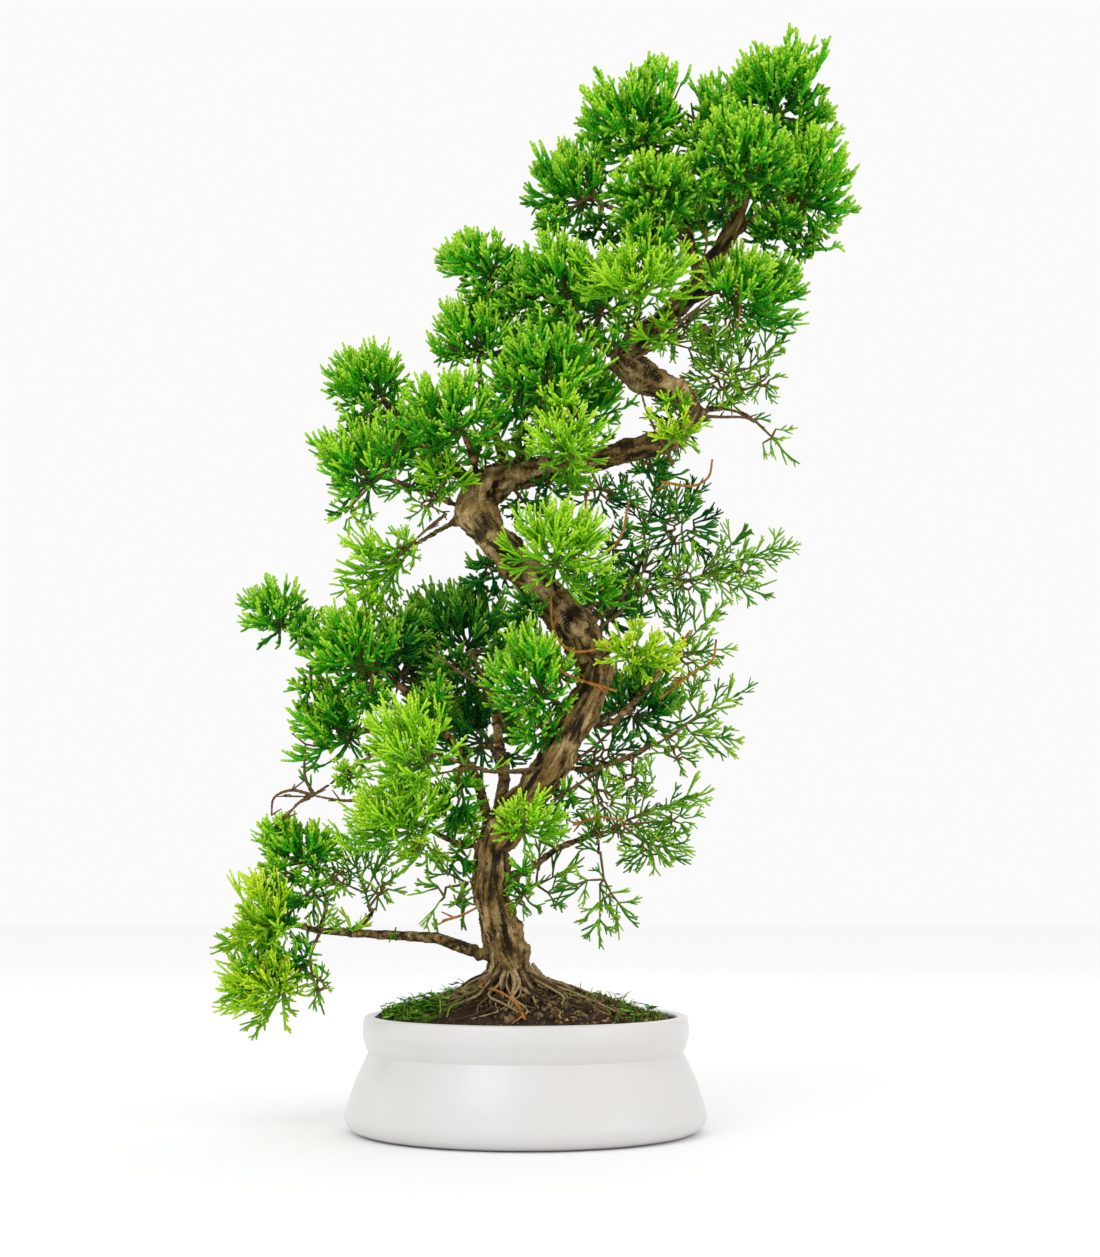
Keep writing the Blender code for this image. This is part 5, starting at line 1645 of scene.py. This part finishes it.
def root_run(roots, chance):
    """A thin root from the trunk's foot out over the mound, more often towards the front."""
    bearing = math.radians(chance.uniform(-150, -20) if chance.random() < 0.75 else chance.uniform(0, 360))
    length = chance.uniform(0.018, 0.044)
    points = []
    for share in (0.0, 0.2, 0.45, 0.7, 1.0):
        away = 0.009 + length * share
        turn = bearing + 0.35 * share * chance.uniform(-1, 1)
        x, y = TRUNK[0][0] + away * math.cos(turn), away * math.sin(turn)
        if math.hypot(x, y) > ROOT_EDGE:
            break
        lift = 0.0045 * (1 - share) ** 3 + 0.0003 + 0.0012 * chance.random() * (share < 0.9)
        points.append((x, y, soil_surface(x, y) + lift))
    if len(points) > 2:
        wander(roots, points, chance.uniform(0.0004, 0.0011), 0.0003, 0.0, 0.0, chance.random(), 3)


def ground_piece(name, parts, slot="soil", tones=None):
    """One piece of the ground cover in its own finish."""
    piece = mesh_object(name, parts, ground_material(name, *(tones or GROUND_TONES[name])))
    settle(piece, slot)


class JUNIPER_OT_ground(bpy.types.Operator):
    """Scatter crumbs, bark chips, moss, small leaves, grass and fine roots over the soil"""

    bl_idname = "juniper.ground"
    bl_label = "Ground cover"

    def execute(self, context):
        settings = context.scene.juniper_ground
        chance = random.Random(GROUND_SEED)
        crumbs = chunks(scattered(settings.crumbs, chance, 0, 360, 0.0, 0.064), 0.0002, 0.0010, 3)
        clods = chunks(scattered(260, chance, -95, 45, 0.008, 0.050), 0.0010, 0.0034, 6)
        ground_piece("soil_crumbs", [crumbs, clods])
        chips = chunks(scattered(340, chance, -70, 60, 0.022, 0.062), 0.0003, 0.0019, 4)
        ground_piece("bark_chips", [chips])

        moss = Cords(2, 3)
        left_bank = scattered(2600, chance, 120, 236, 0.012, 0.062)
        right_bank = scattered(600, chance, -40, 100, 0.030, 0.062)
        for place in left_bank + right_bank:
            end = place + 0.0013 * (UP + 0.7 * sideways(UP, chance)) * chance.uniform(0.6, 1.5)
            moss.add(place, place.lerp(end, 0.5), end, 0.0003, 0.00012, 0.0, 1.0, chance.random())
        ground_piece("moss", [moss.arrays()], tones=(MOSS_DARK, settings.moss, 0.9))

        left_patch = scattered(120, chance, 150, 232, 0.020, 0.060)
        right_patch = scattered(26, chance, -50, 40, 0.040, 0.060)
        ground_piece("small_leaves", [leaflets(left_patch + right_patch, chance)])

        blades = Cords(4, 3)
        left_blades = scattered(45, chance, 120, 240, 0.012, 0.060)
        right_blades = scattered(75, chance, -45, 95, 0.028, 0.061)
        for place in left_blades + right_blades:
            reach = chance.uniform(0.003, 0.0085)
            lean = sideways(UP, chance)
            knee = place + reach * (0.6 * UP + 0.1 * lean)
            tip = knee + reach * (0.1 * UP + 0.5 * lean)
            blades.add(place, knee, tip, 0.00032, 0.0001, 0.0, 1.0, chance.random())
        ground_piece("grass", [blades.arrays()])

        roots = Cords(2, 5)
        for _ in range(settings.fine_roots):
            root_run(roots, chance)
        ground_piece("fine_roots", [roots.arrays()], slot="bark")
        return {"FINISHED"}


class JUNIPER_OT_drain_screens(bpy.types.Operator):
    """Give the screens over the drain holes their woven plastic finish"""

    bl_idname = "juniper.drain_screens"
    bl_label = "Drain screens"

    def execute(self, context):
        material, tree, shader = new_material("black_mesh")
        grain = clouds(tree, object_place(tree), 800.0, 2.0)
        tone = blended(tree, grain, (0.02, 0.02, 0.02, 1.0), (0.05, 0.05, 0.05, 1.0))
        wire(tree, shader, tone, 0.5, grain, 0.3, 0.0002)
        for name in ("drain_screen_left", "drain_screen_right"):
            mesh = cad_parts[name].data
            mesh.materials.clear()
            mesh.materials.append(material)
        return {"FINISHED"}


def aim(obj, target):
    """Turns a camera or a light towards the target."""
    obj.rotation_euler = (Vector(target) - obj.location).to_track_quat("-Z", "Y").to_euler()


class JUNIPER_OT_stage(bpy.types.Operator):
    """Set up the floor, the soft lights and the camera"""

    bl_idname = "juniper.stage"
    bl_label = "Stage"

    def execute(self, context):
        settings = context.scene.juniper_stage
        scene = context.scene
        half = settings.floor_size / 2
        corners = np.array([(-half, -half, 0), (half, -half, 0), (half, half, 0), (-half, half, 0)])
        material, tree, shader = new_material("pale_floor")
        grain = clouds(tree, object_place(tree), 6.0, 3.0)
        tone = blended(tree, grain, (0.965, 0.965, 0.965, 1.0), (0.975, 0.975, 0.975, 1.0))
        wire(tree, shader, tone, 0.9, grain, 0.05, 0.0002)
        square = (corners, [(0, 1, 2, 3)], [], {})
        floor = mesh_object("floor", [square], material, smooth=False)
        floor.location.z = -0.0002
        world = bpy.data.worlds.new("studio")
        world.use_nodes = True
        sky = world.node_tree.nodes["Background"]
        sky.inputs[0].default_value = (1.0, 1.0, 1.0, 1.0)
        sky.inputs[1].default_value = settings.sky_strength
        scene.world = world
        # Name, place, width and power of each light
        lights = (
            ("key", (-0.55, -0.95, 1.05), 0.7, settings.key_power),
            ("fill", (0.95, -0.60, 0.55), 0.8, settings.fill_power),
            ("back", (0.25, 0.95, 0.85), 0.7, 0.6 * settings.fill_power),
        )
        for name, place, size, power in lights:
            lamp = bpy.data.lights.new(name, "AREA")
            lamp.energy = power
            lamp.size = size
            light = bpy.data.objects.new(name, lamp)
            light.location = place
            aim(light, LIGHT_TARGET)
            scene.collection.objects.link(light)
        lens = bpy.data.cameras.new("camera")
        lens.sensor_fit = "VERTICAL"
        lens.sensor_height = SENSOR_HEIGHT
        lens.lens = settings.lens
        camera = bpy.data.objects.new("camera", lens)
        camera.location = CAMERA_PLACE
        aim(camera, CAMERA_TARGET)
        scene.collection.objects.link(camera)
        scene.camera = camera
        scene.view_settings.view_transform = "Standard"
        return {"FINISHED"}


class JUNIPER_PT_panel(bpy.types.Panel):
    """The juniper's pieces, each with its button"""

    bl_idname = "JUNIPER_PT_panel"
    bl_label = "Potted Juniper"
    bl_space_type = "VIEW_3D"
    bl_region_type = "UI"
    bl_category = "Juniper"

    def draw(self, context):
        for operator in OPERATORS:
            self.layout.operator(operator.bl_idname)


OPERATORS = (
    JUNIPER_OT_wood,
    JUNIPER_OT_foliage,
    JUNIPER_OT_fills,
    JUNIPER_OT_twigs,
    JUNIPER_OT_pot,
    JUNIPER_OT_drain_screens,
    JUNIPER_OT_soil,
    JUNIPER_OT_ground,
    JUNIPER_OT_stage,
)

SETTINGS = {
    "juniper_foliage": JuniperFoliageSettings,
    "juniper_bark": JuniperBarkSettings,
    "juniper_pot": JuniperPotSettings,
    "juniper_ground": JuniperGroundSettings,
    "juniper_stage": JuniperStageSettings,
}


def register():
    for kind in (*SETTINGS.values(), *OPERATORS, JUNIPER_PT_panel):
        bpy.utils.register_class(kind)
    for name, kind in SETTINGS.items():
        setattr(bpy.types.Scene, name, PointerProperty(type=kind))


def unregister():
    for name in SETTINGS:
        delattr(bpy.types.Scene, name)
    for kind in reversed((*SETTINGS.values(), *OPERATORS, JUNIPER_PT_panel)):
        bpy.utils.unregister_class(kind)


def main():
    register()
    bpy.ops.juniper.wood()
    bpy.ops.juniper.foliage()
    bpy.ops.juniper.fills()
    bpy.ops.juniper.twigs()
    bpy.ops.juniper.pot()
    bpy.ops.juniper.drain_screens()
    bpy.ops.juniper.soil()
    bpy.ops.juniper.ground()
    bpy.ops.juniper.stage()


if __name__ == "__main__":
    main()
